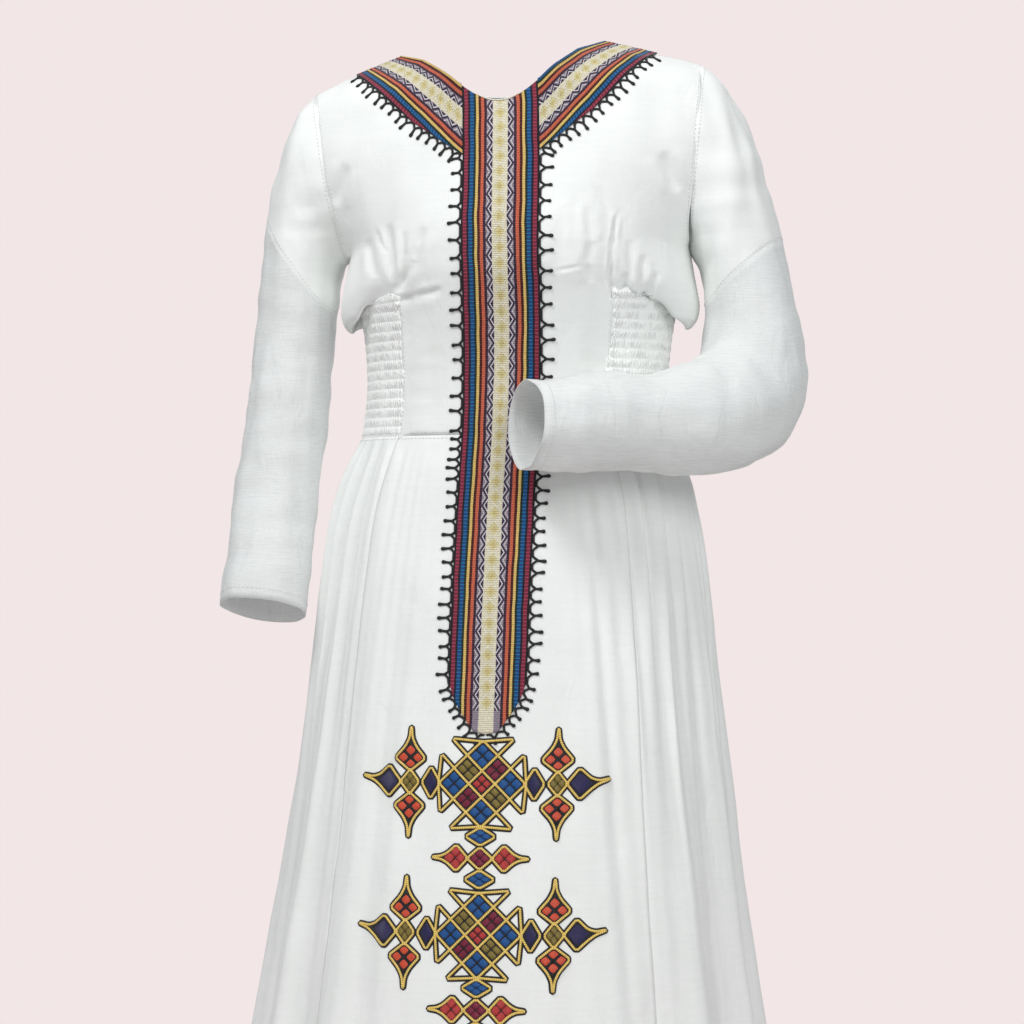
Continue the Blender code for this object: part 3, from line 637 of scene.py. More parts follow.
def apply_modifier(piece: bpy.types.Object, kind: str, **settings: Any) -> None:
    """Adds a modifier with its settings and applies it.

    Args:
        piece: The piece.
        kind: Blender's name of the modifier.
        **settings: The modifier's settings.
    """
    modifier = piece.modifiers.new(kind.title(), kind)
    for name, value in settings.items():
        setattr(modifier, name, value)
    bpy.ops.object.select_all(action="DESELECT")
    bpy.context.view_layer.objects.active = piece
    piece.select_set(True)
    bpy.ops.object.modifier_apply(modifier=modifier.name)


def dress(piece: bpy.types.Object, material: bpy.types.Material) -> None:
    """Gives a piece its finish, smooth shading and its body."""
    piece.data.materials.clear()
    piece.data.materials.append(material)
    bpy.ops.object.select_all(action="DESELECT")
    bpy.context.view_layer.objects.active = piece
    piece.select_set(True)
    bpy.ops.object.shade_smooth()
    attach(piece, BODY)
    LOG.info("%s: %d faces", piece.name, len(piece.data.polygons))


def woven_grid(name: str, points: np.ndarray, flat: np.ndarray) -> bpy.types.Object:
    """Makes a fine sheet from a grid primitive.

    Args:
        name: The piece's name.
        points: Rows and columns of points, rows going up and columns to the wearer's left.
        flat: The same grid's places on the flat cloth, in metres, for the weave.

    Returns:
        The sheet.
    """
    rows, columns = points.shape[:2]
    bpy.ops.object.select_all(action="DESELECT")
    bpy.ops.mesh.primitive_grid_add(x_subdivisions=columns - 1, y_subdivisions=rows - 1, size=1.0)
    piece = bpy.context.object
    piece.name = name
    mesh = piece.data
    if len(mesh.vertices) != rows * columns:
        raise ValueError(f"{name}: the grid has {len(mesh.vertices)} points, and not {rows * columns}")
    place_points(mesh, points.reshape(-1, 3))
    corners = np.empty(len(mesh.loops), int)
    mesh.loops.foreach_get("vertex_index", corners)
    layer = mesh.uv_layers.active or mesh.uv_layers.new(name="Weave")
    layer.name = "Weave"
    mesh.uv_layers["Weave"].data.foreach_set("uv", flat.reshape(-1, 2)[corners].ravel())
    return piece


class Surface:
    """Finished cloth that other pieces are laid on."""

    def __init__(self, pieces: Sequence[bpy.types.Object]) -> None:
        """Gathers the faces of the pieces."""
        points: list[Vector] = []
        faces: list[list[int]] = []
        for piece in pieces:
            start = len(points)
            points.extend(vertex.co.copy() for vertex in piece.data.vertices)
            faces.extend([start + i for i in polygon.vertices] for polygon in piece.data.polygons)
        self.tree = BVHTree.FromPolygons(points, faces)

    def ahead(self, x: float, z: float) -> tuple[np.ndarray, np.ndarray]:
        """Finds the cloth seen from the front at a place.

        Args:
            x: The worn x.
            z: The worn height.

        Returns:
            The point on the cloth and the direction out of it.
        """
        for step in range(60):
            drop = 0.0005 * step
            hit = self.tree.ray_cast(Vector((x, -1.0, z - drop)), Vector((0, 1, 0)))
            if hit[0] is not None and hit[0].y < SIDE_LINE_Y + 0.03:
                break
        else:
            raise ValueError(f"there is no cloth at {x:.3f}, {z:.3f}")
        point = np.array(hit[0])
        if 0 < drop < 0.0022:
            point += (0.0, 0.5 * drop, drop)
        return point, np.array(hit[1])

    def on_pattern(self, x: float, z: float) -> tuple[np.ndarray, np.ndarray]:
        """Finds the cloth at a place on the upright pattern."""
        return self.ahead(*worn(x, z))

    def top_edge(self, x: float, z: float) -> float:
        """Finds how high the cloth of the front reaches near a place on the upright pattern.

        Args:
            x: The pattern x.
            z: The pattern height to look near.

        Returns:
            The pattern height of the cloth's edge, or z where none is near.
        """
        for step in range(40):
            height = z + 0.008 - 0.0004 * step
            place = worn(x, height)
            hit = self.tree.ray_cast(Vector((place[0], -1.0, place[1])), Vector((0, 1, 0)))
            if hit[0] is not None and hit[0].y < -0.045:
                return height
        return z

    def nearest(self, point: np.ndarray) -> tuple[np.ndarray, np.ndarray]:
        """Finds the cloth nearest to a point."""
        hit = self.tree.find_nearest(Vector(point))
        return np.array(hit[0]), np.array(hit[1])


def smoothed_normals(normals: np.ndarray, rounds: int = 2) -> np.ndarray:
    """Evens out the directions of a grid or a line of points.

    Args:
        normals: Unit vectors, one for each point.
        rounds: How often each is averaged with its neighbours.

    Returns:
        The evened unit vectors.
    """
    for _ in range(rounds):
        for axis in range(normals.ndim - 1):
            padded = np.concatenate([normals.take([0], axis), normals, normals.take([-1], axis)], axis)
            count = normals.shape[axis]
            normals = sum(padded.take(range(k, k + count), axis) for k in range(3))
            normals = normals / np.maximum(np.linalg.norm(normals, axis=-1, keepdims=True), 1e-9)
    return normals


class ThreadBundle:
    """Many lengths of one thread, gathered into one mesh with the length and the turn of each point."""

    def __init__(self, sides: int = 6) -> None:
        """Starts with no thread, each of so many sides."""
        self.sides = sides
        self.points: list[np.ndarray] = []
        self.faces: list[tuple[int, ...]] = []
        self.flat: list[tuple[float, float]] = []
        self.count = 0

    def add(self, line: Sequence[np.ndarray], normals: Sequence[np.ndarray], half_width: float, height: float,
            swell: Sequence[float] | None = None, closed: bool = False) -> None:
        """Lays one length of thread.

        Args:
            line: The points that its middle follows.
            normals: The direction out of the cloth at each point.
            half_width: Half its width along the cloth.
            height: Half its thickness across the cloth.
            swell: A factor on its size at each point.
            closed: Whether its end joins its start.
        """
        path, out = np.array(line), np.array(normals)
        if closed:
            along = np.roll(path, -1, 0) - np.roll(path, 1, 0)
        else:
            along = np.gradient(path, axis=0)
        side = np.cross(out, along)
        side /= np.maximum(np.linalg.norm(side, axis=1, keepdims=True), 1e-9)
        sizes = np.ones(len(path)) if swell is None else np.array(swell)
        turns = np.arange(self.sides) * math.tau / self.sides
        rings = path[:, None] + sizes[:, None, None] * (
            np.cos(turns)[None, :, None] * half_width * side[:, None] + np.sin(turns)[None, :, None] * height
            * out[:, None])
        step = np.linalg.norm(np.diff(path, axis=0, append=path[:1]), axis=1)
        length = np.concatenate([[0.0], np.cumsum(step)])
        last = len(path) if closed else len(path) - 1
        for i in range(last):
            j = (i + 1) % len(path)
            for k in range(self.sides):
                m = (k + 1) % self.sides
                self.faces.append(tuple(self.count + n for n in (
                    i * self.sides + k, i * self.sides + m, j * self.sides + m, j * self.sides + k)))
                self.flat.extend(((length[i], k / self.sides), (length[i], (k + 1) / self.sides),
                                  (length[i + 1], (k + 1) / self.sides), (length[i + 1], k / self.sides)))
        self.points.append(rings.reshape(-1, 3))
        if not closed:
            total = len(path) * self.sides
            tips = [path[0] - along[0] / max(np.linalg.norm(along[0]), 1e-9) * height * 0.6,
                    path[-1] + along[-1] / max(np.linalg.norm(along[-1]), 1e-9) * height * 0.6]
            self.points.append(np.array(tips))
            for k in range(self.sides):
                m = (k + 1) % self.sides
                first = (self.count + total, self.count + m, self.count + k)
                base = self.count + (len(path) - 1) * self.sides
                second = (self.count + total + 1, base + k, base + m)
                self.faces.extend((first, second))
                self.flat.extend([(length[0], k / self.sides)] * 3 + [(length[-2], k / self.sides)] * 3)
            self.count += 2
        self.count += len(path) * self.sides

    def piece(self, name: str) -> bpy.types.Object:
        """Makes the bundle's object."""
        mesh = bpy.data.meshes.new(name)
        mesh.from_pydata(np.concatenate(self.points), [], self.faces)
        layer = mesh.uv_layers.new(name="Weave")
        layer.data.foreach_set("uv", np.array(self.flat, float).ravel())
        made = bpy.data.objects.new(name, mesh)
        bpy.context.scene.collection.objects.link(made)
        with edit_mode(made):
            bpy.ops.mesh.select_all(action="SELECT")
            bpy.ops.mesh.normals_make_consistent(inside=False)
        return made


# Cloth from the frame's panels


@dataclass(frozen=True)
class Crease:
    """A pressed-in line of the cloth, from one worn x and z to another."""

    start: tuple[float, float]
    end: tuple[float, float]
    width: float
    depth: float
    lip: float = 0.35


FRONT_CREASES = (
    Crease((-0.1300, -0.1980), (-0.1182, -0.2265), 0.0018, 0.0026),
    Crease((-0.1182, -0.2265), (-0.1085, -0.2590), 0.0014, 0.0014),
    Crease((-0.1150, -0.1950), (-0.1080, -0.2560), 0.0045, 0.0044),
    Crease((-0.1060, -0.2660), (-0.0850, -0.2350), 0.0050, 0.0039),
    Crease((-0.0880, -0.2400), (-0.0730, -0.2020), 0.0055, 0.0025),
    Crease((-0.1010, -0.2600), (-0.0950, -0.2050), 0.0038, 0.0026),
    Crease((-0.1400, -0.2080), (-0.1310, -0.2500), 0.0045, 0.0031),
    Crease((-0.1100, -0.2750), (-0.0870, -0.2720), 0.0034, 0.0027),
    Crease((-0.0900, -0.2725), (-0.0540, -0.2660), 0.0034, 0.0024),
    Crease((-0.1030, -0.3270), (-0.0540, -0.3290), 0.0024, 0.0014),
    Crease((-0.1030, -0.3485), (-0.0560, -0.3510), 0.0024, 0.0014),
    Crease((-0.1000, -0.3700), (-0.0600, -0.3735), 0.0026, 0.0015),
    Crease((-0.1000, -0.3900), (-0.0650, -0.3915), 0.0026, 0.0011),
    Crease((0.1196, -0.1900), (0.1158, -0.2280), 0.0017, 0.0038),
    Crease((0.1158, -0.2260), (0.1142, -0.2570), 0.0018, 0.0044),
    Crease((0.1142, -0.2540), (0.1172, -0.2700), 0.0017, 0.0032),
    Crease((0.1010, -0.1620), (0.1150, -0.1930), 0.0038, 0.0013),
    Crease((0.0905, -0.1840), (0.0965, -0.2200), 0.0046, 0.0020),
    Crease((0.0965, -0.2180), (0.0915, -0.2420), 0.0044, 0.0020),
    Crease((0.0915, -0.2400), (0.0955, -0.2600), 0.0040, 0.0017),
    Crease((0.0680, -0.1820), (0.0676, -0.2500), 0.0070, 0.0018),
    Crease((0.0800, -0.1700), (0.0795, -0.2420), 0.0050, 0.0013),
    Crease((0.0600, -0.2500), (0.0870, -0.2435), 0.0020, 0.0008),
    Crease((0.1285, -0.2480), (0.1282, -0.2740), 0.0028, 0.0034),
    Crease((0.1450, -0.2300), (0.1430, -0.2780), 0.0032, 0.0038),
    Crease((0.1600, -0.2460), (0.1440, -0.2790), 0.0026, 0.0031),
    Crease((0.1320, -0.2150), (0.1360, -0.2560), 0.0040, 0.0027),
    Crease((0.1640, -0.1250), (0.1790, -0.1640), 0.0070, 0.0042),
    Crease((-0.1620, -0.1300), (-0.1800, -0.1700), 0.0070, 0.0039),
    Crease((0.0800, -0.3330), (0.1080, -0.3420), 0.0032, 0.0012),
    Crease((0.0700, -0.3560), (0.1080, -0.3600), 0.0026, 0.0009),
    Crease((0.0750, -0.3780), (0.1060, -0.3790), 0.0026, 0.0009),
)
BACK_CREASES = tuple(
    Crease((side * x, -0.272), (side * (x + lean), -0.272 + rise), 0.0042, 0.0032)
    for side in (-1, 1)
    for x, lean, rise in ((0.085, -0.012, 0.070), (0.098, -0.006, 0.085), (0.112, 0.0, 0.080),
                          (0.126, 0.005, 0.060), (0.140, 0.012, 0.050))
)


def crease_relief(points: np.ndarray, creases: Sequence[Crease]) -> np.ndarray:
    """Works out how far creases move points of the cloth out.

    Args:
        points: The cloth's points.
        creases: The creases, by their worn x and z.

    Returns:
        One distance for each point, negative where it is pressed in.
    """
    flat, total = points[:, [0, 2]], np.zeros(len(points))
    for crease in creases:
        start, way = np.array(crease.start), np.subtract(crease.end, crease.start)
        t = np.clip((flat - start) @ way / (way @ way), 0, 1)
        away = np.linalg.norm(flat - start - t[:, None] * way, axis=1)
        taper = 1 - np.abs(2 * t - 1) ** 3
        groove = np.exp(-((away / crease.width) ** 2))
        lip = np.exp(-(((away - 2 * crease.width) / (1.2 * crease.width)) ** 2))
        total += crease.depth * taper * (crease.lip * lip - groove)
    return total


def soft_unevenness(points: np.ndarray, size: float, depth: float, seed: float) -> np.ndarray:
    """Slow swells of the cloth that fade out near the waist seam.

    Args:
        points: The cloth's points.
        size: How wide a swell is.
        depth: How far it stands out.
        seed: Where in the noise it starts.

    Returns:
        One distance for each point.
    """
    places = [Vector((x / size, y / size, z / size * 0.6 + seed)) for x, y, z in points]
    values = np.array([noise.noise(place) for place in places])
    return depth * values * ease(np.abs(points[:, 2] - WAIST_SEAM), 0.004, 0.04)


def border_loops(mesh: bpy.types.Mesh) -> list[list[int]]:
    """Walks round the open edges of a sheet.

    Args:
        mesh: The sheet's mesh.

    Returns:
        Each closed loop, as the numbers of its points in order.
    """
    shape = bmesh.new()
    shape.from_mesh(mesh)
    shape.verts.ensure_lookup_table()
    beside: dict[int, list[int]] = {}
    for edge in shape.edges:
        if edge.is_boundary:
            first, second = (vertex.index for vertex in edge.verts)
            beside.setdefault(first, []).append(second)
            beside.setdefault(second, []).append(first)
    shape.free()
    loops, left = [], set(beside)
    while left:
        here = min(left)
        loop = []
        while here is not None:
            loop.append(here)
            left.discard(here)
            here = next((other for other in beside[here] if other in left), None)
        loops.append(loop)
    return loops


def sheet_area(piece: bpy.types.Object) -> float:
    """The area of an open sheet, in square metres."""
    return sum(polygon.area for polygon in piece.data.polygons)


def declare_cloth(flat: tuple[float, float],
                  area: float) -> None:
    """Works out the rectangle that a sheet was cut from, widened to hold its area, and keeps nothing of it.

    Args:
        flat: The width and length of the smallest rectangle that it was cut from.
        area: Its flat area, in square metres.
    """
    width, length = flat
    flat = (max(width, area / length * 1.01), length)


@dataclass
class ClothPanel:
    """One cut piece of cloth, taken from the outer face of its node and refined."""

    node: str
    name: str
    levels: int
    thickness: float
    flat: tuple[float, float]
    held: str
    rests_on: tuple[str, ...]
    through_points: bool = True
    allowance: float = 0.0
    borders: list[np.ndarray] = field(default_factory=list)

    def outer_face(self) -> bpy.types.Object:
        """Copies the node, merges its points and keeps the layer that faces out.

        Returns:
            The open sheet, of quads.
        """
        piece = bpy.data.objects.new(self.name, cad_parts[self.node].data.copy())
        bpy.context.scene.collection.objects.link(piece)
        with edit_mode(piece):
            bpy.ops.mesh.select_all(action="SELECT")
            bpy.ops.mesh.remove_doubles(threshold=0.00005)
        keep = self._outer_faces(piece.data)
        with edit_mode(piece):
            bpy.ops.mesh.select_mode(type="FACE")
            shape = bmesh.from_edit_mesh(piece.data)
            shape.faces.ensure_lookup_table()
            for face in shape.faces:
                face.select = face.index not in keep
            bmesh.update_edit_mesh(piece.data)
            bpy.ops.mesh.delete(type="FACE")
            bpy.ops.mesh.select_all(action="SELECT")
            steep = math.radians(70)
            bpy.ops.mesh.tris_convert_to_quads(face_threshold=steep, shape_threshold=steep)
        return piece

    def _outer_faces(self, mesh: bpy.types.Mesh) -> set[int]:
        """Finds the outer layer: what the narrow rim faces part from the inner one.

        Args:
            mesh: The node's merged mesh.

        Returns:
            The outer faces' numbers.
        """
        shape = bmesh.new()
        shape.from_mesh(mesh)
        shape.faces.ensure_lookup_table()
        if "smocked" in self.node:
            middle = Vector((0.0, SIDE_LINE_Y, 0.0))
            ways = {face.index: (face.calc_center_median() - middle).xy.normalized() for face in shape.faces}
            keep = {face.index for face in shape.faces if ways[face.index].dot(face.normal.xy) > 0.3}
            shape.free()
            return keep
        rim = {face.index for face in shape.faces if min(edge.calc_length() for edge in face.edges) < 0.0022}
        centre = np.mean([vertex.co for vertex in shape.verts], axis=0)
        sleeve = "sleeve" in self.node
        if not sleeve:
            centre = np.array((0.0, SIDE_LINE_Y, 0.0))
        seen, best = set(rim), (-1e9, set())
        for face in shape.faces:
            if face.index in seen:
                continue
            layer, queue, facing = set(), [face], 0.0
            seen.add(face.index)
            while queue:
                here = queue.pop()
                layer.add(here.index)
                away = np.array(here.calc_center_median()) - centre
                if not sleeve:
                    away[2] = 0.0
                facing += here.calc_area() * float(np.dot(away, here.normal))
                for edge in here.edges:
                    for near in edge.link_faces:
                        if near.index not in seen:
                            seen.add(near.index)
                            queue.append(near)
            if facing > best[0]:
                best = (facing, layer)
        shape.free()
        return best[1]

    def rounded(self, piece: bpy.types.Object) -> None:
        """Refines the sheet, so that its smooth surface passes through the node's own points."""
        smooth = {"subdivision_type": "CATMULL_CLARK", "boundary_smooth": "PRESERVE_CORNERS"}
        goal = coordinates(piece.data)
        if self.through_points:
            for _ in range(3):
                modifier = piece.modifiers.new("Fit", "SUBSURF")
                modifier.levels = modifier.render_levels = 1
                modifier.boundary_smooth = "PRESERVE_CORNERS"
                bpy.context.view_layer.update()
                shown = piece.evaluated_get(bpy.context.evaluated_depsgraph_get())
                limit = coordinates(shown.to_mesh())[: len(goal)]
                shown.to_mesh_clear()
                piece.modifiers.remove(modifier)
                place_points(piece.data, coordinates(piece.data) + 0.9 * (goal - limit))
        apply_modifier(piece, "SUBSURF", levels=self.levels, render_levels=self.levels, **smooth)

    def push(self, piece: bpy.types.Object, out: np.ndarray, dip: float = 0.0002) -> None:
        """Moves each point along its own direction out of the cloth, and presses the cloth in at its seams.

        Args:
            piece: The open sheet.
            out: One distance for each point.
            dip: How far the cloth is pressed in at its edge.
        """
        mesh = piece.data
        normals = np.array([vertex.normal for vertex in mesh.vertices])
        points = coordinates(mesh)
        edge = {i for loop in border_loops(mesh) for i in loop}
        tree = KDTree(len(edge))
        for i in edge:
            tree.insert(points[i], i)
        tree.balance()
        away = np.array([tree.find(point)[2] for point in points])
        out = out - dip * (1 - ease(away, 0.0, 0.0045))
        place_points(mesh, points + normals * out[:, None])

    def thicken(self, piece: bpy.types.Object, area: float) -> None:
        """Gives the sheet its wall on the inside.

        Args:
            piece: The open sheet.
            area: The flat area that it was cut to, in square metres.
        """
        self._keep_borders(piece.data)
        if self.allowance:
            self._turn_under(piece.data)
        apply_modifier(piece, "SOLIDIFY", thickness=self.thickness, offset=-1.0, use_even_offset=True,
                       thickness_clamp=0.0)
        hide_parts(self.node)
        declare_cloth(self.flat, area)

    def _turn_under(self, mesh: bpy.types.Mesh) -> None:
        """Adds the seam allowance, which lies behind the cloth that the sheet is sewn to."""
        ways: dict[tuple[float, ...], Vector] = {}
        shape = bmesh.new()
        shape.from_mesh(mesh)
        shape.normal_update()
        bodice = "bodice" in self.node
        edges = [edge for edge in shape.edges if edge.is_boundary and (not bodice or all(
            abs(vertex.co.x) > ARMHOLE_X and ARMHOLE_HEIGHTS[0] < vertex.co.z < ARMHOLE_HEIGHTS[1]
            for vertex in edge.verts))]
        under = ARMHOLE_UNDER if bodice else ALLOWANCE_UNDER
        for vertex in {vertex for edge in edges for vertex in edge.verts}:
            middle = Vector()
            for face in vertex.link_faces:
                middle += (face.calc_center_median() - vertex.co) / len(vertex.link_faces)
            middle -= vertex.normal * middle.dot(vertex.normal)
            ways[tuple(vertex.co)] = -middle.normalized() * self.allowance - vertex.normal * under
        made = bmesh.ops.extrude_edge_only(shape, edges=edges)["geom"]
        for vertex in made:
            if isinstance(vertex, bmesh.types.BMVert):
                vertex.co += ways[tuple(vertex.co)]
        shape.to_mesh(mesh)
        shape.free()
        mesh.update()

    def _keep_borders(self, mesh: bpy.types.Mesh) -> None:
        """Keeps each border as rows of a place, the way into the cloth and the way out of its face.

        The borders then reach a little further, so that the pieces meet at their seams.
        """
        points = coordinates(mesh)
        inward = np.zeros_like(points)
        edge = {i for loop in border_loops(mesh) for i in loop}
        for link in mesh.edges:
            first, second = link.vertices
            if first in edge and second not in edge:
                inward[first] += points[second] - points[first]
            elif second in edge and first not in edge:
                inward[second] += points[first] - points[second]
        normals = np.array([vertex.normal for vertex in mesh.vertices])
        for loop in border_loops(mesh):
            rows = np.stack([points[loop], inward[loop], normals[loop]], axis=1)
            self.borders.append(rows)
            reach = np.maximum(np.linalg.norm(inward[loop], axis=1), 1e-6)[:, None]
            points[loop] -= inward[loop] / reach * SEAM_REACH
        place_points(mesh, points)


@dataclass
class Seams:
    """Rows of small white stitches beside the seams and along the hems."""

    finish: bpy.types.Material
    pitch: float = 0.0044
    length: float = 0.0027
    thread: float = 0.00042
    panels: list[ClothPanel] = field(default_factory=list)

    @staticmethod
    def inset(panel: ClothPanel, place: np.ndarray, lowest: bool) -> float | None:
        """How far from the border the stitches run.

        Args:
            panel: The panel.
            place: A place on its border.
            lowest: Whether the border is the lowest one of its panel.

        Returns:
            The distance, or None where the border has no stitches that show.
        """
        x, y, z = place
        if z < HEM + 0.012:
            return 0.018
        if "skirt" in panel.node:
            return 0.0030 if z > WAIST_SEAM - 0.006 else None
        if "lower_sleeve" in panel.node:
            return 0.0110 if lowest else None
        if "bodice" in panel.node and y < SIDE_LINE_Y - 0.02 and z > -0.13 and abs(x) < 0.165:
            return None
        return 0.0028

    def build(self, cloth: Surface) -> bpy.types.Object:
        """Sews all the rows on finished cloth.

        Args:
            cloth: All the finished cloth.

        Returns:
            The piece.
        """
        bundle = ThreadBundle(sides=5)
        for panel in self.panels:
            lowest = min(range(len(panel.borders)), key=lambda i: panel.borders[i][:, 0, 2].mean())
            for number, rows in enumerate(panel.borders):
                self._sew(bundle, cloth, panel, np.concatenate([rows, rows[:1]]), number == lowest)
        piece = bundle.piece("seam_stitches")
        dress(piece, self.finish)
        return piece

    def _sew(self, bundle: ThreadBundle, cloth: Surface, panel: ClothPanel, rows: np.ndarray,
             lowest: bool) -> None:
        """Sews along one border."""
        steps = np.linalg.norm(np.diff(rows[:, 0], axis=0), axis=1)
        length = np.concatenate([[0.0], np.cumsum(steps)])

        def at(place: float) -> tuple[np.ndarray, np.ndarray] | None:
            """Finds the cloth where a stitch goes in, so far along the border."""
            spot, inward, out = (np.array([np.interp(place, length, rows[:, part, k]) for k in range(3)])
                                 for part in range(3))
            inset = self.inset(panel, spot, lowest)
            size = float(np.linalg.norm(inward))
            if inset is None or size < 1e-6:
                return None
            return cloth.nearest(spot + inward / size * inset + out * 0.0015)

        for start in np.arange(0.002, length[-1] - self.length, self.pitch):
            found = [at(start + self.length * t) for t in (0.0, 0.5, 1.0)]
            if any(place is None for place in found):
                continue
            line = [place[0] + place[1] * lift for place, lift in zip(found, (-0.0001, 0.0003, -0.0001))]
            if np.linalg.norm(line[2] - line[0]) > self.length * 1.6:
                continue
            bundle.add(line, [place[1] for place in found], self.thread, self.thread, (0.7, 1.0, 0.7))


@dataclass
class Bodice:
    """The front and back of the bodice, and the smocked sides of the waist."""

    finish: bpy.types.Material
    smocked: bpy.types.Material
    seams: Seams
    elastic_rows: float = 0.0098
    puff_width: float = 0.0085
    puff_depth: float = 0.0011
    loose_drop: float = 0.011
    loose_low: float = -0.288
    loose_lift: float = 0.55
    draw_share: float = 0.55
    draw_clear: float = 0.002
    pieces: list[bpy.types.Object] = field(default_factory=list)

    def panels(self) -> None:
        """Makes the front and the back."""
        for face, levels in (("front", 3), ("back", 2)):
            panel = ClothPanel(f"{face}_bodice", f"{face}_bodice_cloth", levels, CLOTH, (0.46, 0.44),
                               "stretched", ("neck_and_shoulders",), allowance=0.004)
            piece = panel.outer_face()
            self.soften(piece)
            panel.rounded(piece)
            self.fill_out(piece)
            self.draw_in(piece)
            points = coordinates(piece.data)
            out = crease_relief(points, FRONT_CREASES if face == "front" else BACK_CREASES)
            out += soft_unevenness(points, 0.055, 0.0026, 3.0)
            out += soft_unevenness(points * (1.0, 1.0, 0.6), 0.024, 0.0012, 8.0)
            edge = ease(points[:, 2] - WAIST_SEAM, 0.0, 0.006)
            panel.push(piece, out * edge)
            panel.thicken(piece, sheet_area(piece))
            dress(piece, self.finish)
            self.pieces.append(piece)
            self.seams.panels.append(panel)

    @staticmethod
    def soften(piece: bpy.types.Object) -> None:
        """Evens the loose cloth of the sides."""
        with edit_mode(piece):
            shape = bmesh.from_edit_mesh(piece.data)
            for vertex in shape.verts:
                x, _, z = vertex.co
                vertex.select = not vertex.is_boundary and abs(x) > 0.095 and -0.32 < z < -0.14
            bmesh.update_edit_mesh(piece.data)
            bpy.ops.mesh.vertices_smooth(factor=0.5, repeat=3)

    def fill_out(self, piece: bpy.types.Object) -> None:
        """Rounds the loose cloth that hangs over the smocking towards its front and back corners."""
        points = coordinates(piece.data)
        turn = np.degrees(np.arctan2(np.abs(points[:, 0]), np.abs(points[:, 1] - SIDE_LINE_Y)))
        share = ease(turn, 42.5, 58.0) * (1 - ease(turn, 74.0, 92.0))
        low = ease(-points[:, 2], 0.262, 0.286)
        points[:, 2] -= self.loose_drop * share * low
        below = np.maximum(0.0, self.loose_low - points[:, 2]) * (points[:, 2] > WAIST_SEAM + 0.05)
        points[:, 2] += self.loose_lift * below * ease(turn, 54.0, 76.0)
        place_points(piece.data, points)

    def draw_in(self, piece: bpy.types.Object) -> None:
        """Draws the low end of the loose cloth in towards the smocking."""
        smocked = Surface(self.pieces[:2])
        points = coordinates(piece.data)
        turn = np.degrees(np.arctan2(np.abs(points[:, 0]), np.abs(points[:, 1] - SIDE_LINE_Y)))
        share = self.draw_share * ease(-points[:, 2], 0.270, 0.318) * ease(turn, 44.0, 66.0)
        for i in np.flatnonzero(share > 0.01):
            if points[i, 2] < WAIST_SEAM + 0.05:
                continue
            out = points[i] * (1, 1, 0) - (0, SIDE_LINE_Y, 0)
            out /= np.linalg.norm(out)
            away = float((points[i] - smocked.nearest(points[i])[0]) @ out)
            points[i] -= out * max(0.0, away - self.draw_clear) * share[i]
        place_points(piece.data, points)

    def smocking(self) -> None:
        """Makes the sides of the waist, with puffs between rows of elastic."""
        for side in ("right", "left"):
            panel = ClothPanel(f"{side}_smocked_waist", f"{side}_smocked_cloth", 3, CLOTH, (0.36, 0.15),
                               "gathered", ("front_bodice", "back_bodice"), allowance=0.006)
            piece = panel.outer_face()
            with edit_mode(piece):
                shape = bmesh.from_edit_mesh(piece.data)
                for vertex in shape.verts:
                    vertex.select = not vertex.is_boundary
                bmesh.update_edit_mesh(piece.data)
                bpy.ops.mesh.vertices_smooth(factor=0.5, repeat=10)
            panel.rounded(piece)
            points = coordinates(piece.data)
            turn = np.arctan2(np.abs(points[:, 0]), -(points[:, 1] - SIDE_LINE_Y))
            around = turn * 0.14
            row = (points[:, 2] - WAIST_SEAM) / self.elastic_rows
            number = np.floor(row)
            belly = np.sin(math.pi * (row - number)) ** 0.6
            phase = np.sin(number * 12.9898) * 43.758
            shift = (phase - np.floor(phase)) * self.puff_width * 0.35
            wander = 0.0012 * np.sin(points[:, 2] * 900.0 + around * 300.0)
            pleat = np.abs(np.sin(math.pi * (around + shift + wander) / self.puff_width)) ** 0.8
            out = self.puff_depth * ((0.25 + 0.75 * belly) * (0.6 + 0.4 * pleat) - 0.5)
            near_seam = ease(points[:, 2] - WAIST_SEAM, 0.0, 0.004)
            near_seam *= ease(SMOCK_TOP - points[:, 2], 0.0, 0.004)
            side_seam = ease(turn, math.radians(42.5), math.radians(45)) * ease(
                turn, math.radians(137.5), math.radians(135))
            top = 0.0014 * ease(points[:, 2], SMOCK_TOP - 0.018, SMOCK_TOP - 0.003)
            panel.push(piece, out * near_seam * (0.25 + 0.75 * side_seam) + top * side_seam)
            panel.thicken(piece, sheet_area(piece))
            dress(piece, self.smocked)
            self.pieces.append(piece)
            self.seams.panels.append(panel)


@dataclass
class Sleeves:
    """The two set-in sleeves, each lined above and sheer below."""

    lined: bpy.types.Material
    sheer: bpy.types.Material
    seams: Seams
    pieces: list[bpy.types.Object] = field(default_factory=list)

    def build(self) -> None:
        """Makes the four sleeve pieces."""
        for side in ("right", "left"):
            for part, finish, slot, thickness, flat in (
                    ("upper", self.lined, "cotton", CLOTH, (0.42, 0.19)),
                    ("lower", self.sheer, "gauze", GAUZE, (0.38, 0.45))):
                carrier = ("front_bodice", "back_bodice") if part == "upper" else (f"{side}_upper_sleeve",)
                panel = ClothPanel(f"{side}_{part}_sleeve", f"{side}_{part}_sleeve_cloth", 3, thickness, flat,
                                   "hung", carrier, allowance=0.006 if part == "upper" else 0.0)
                piece = panel.outer_face()
                panel.rounded(piece)
                points = coordinates(piece.data)
                out = soft_unevenness(points, 0.060, 0.0050, 15.0)
                out += soft_unevenness(points * (1.0, 1.0, 0.30), 0.020, 0.0024, 21.0)
                out += soft_unevenness(points * (0.45, 0.45, 2.2), 0.030, 0.0022, 27.0)
                panel.push(piece, out)
                panel.thicken(piece, sheet_area(piece))
                dress(piece, finish)
                self.pieces.append(piece)
                self.seams.panels.append(panel)


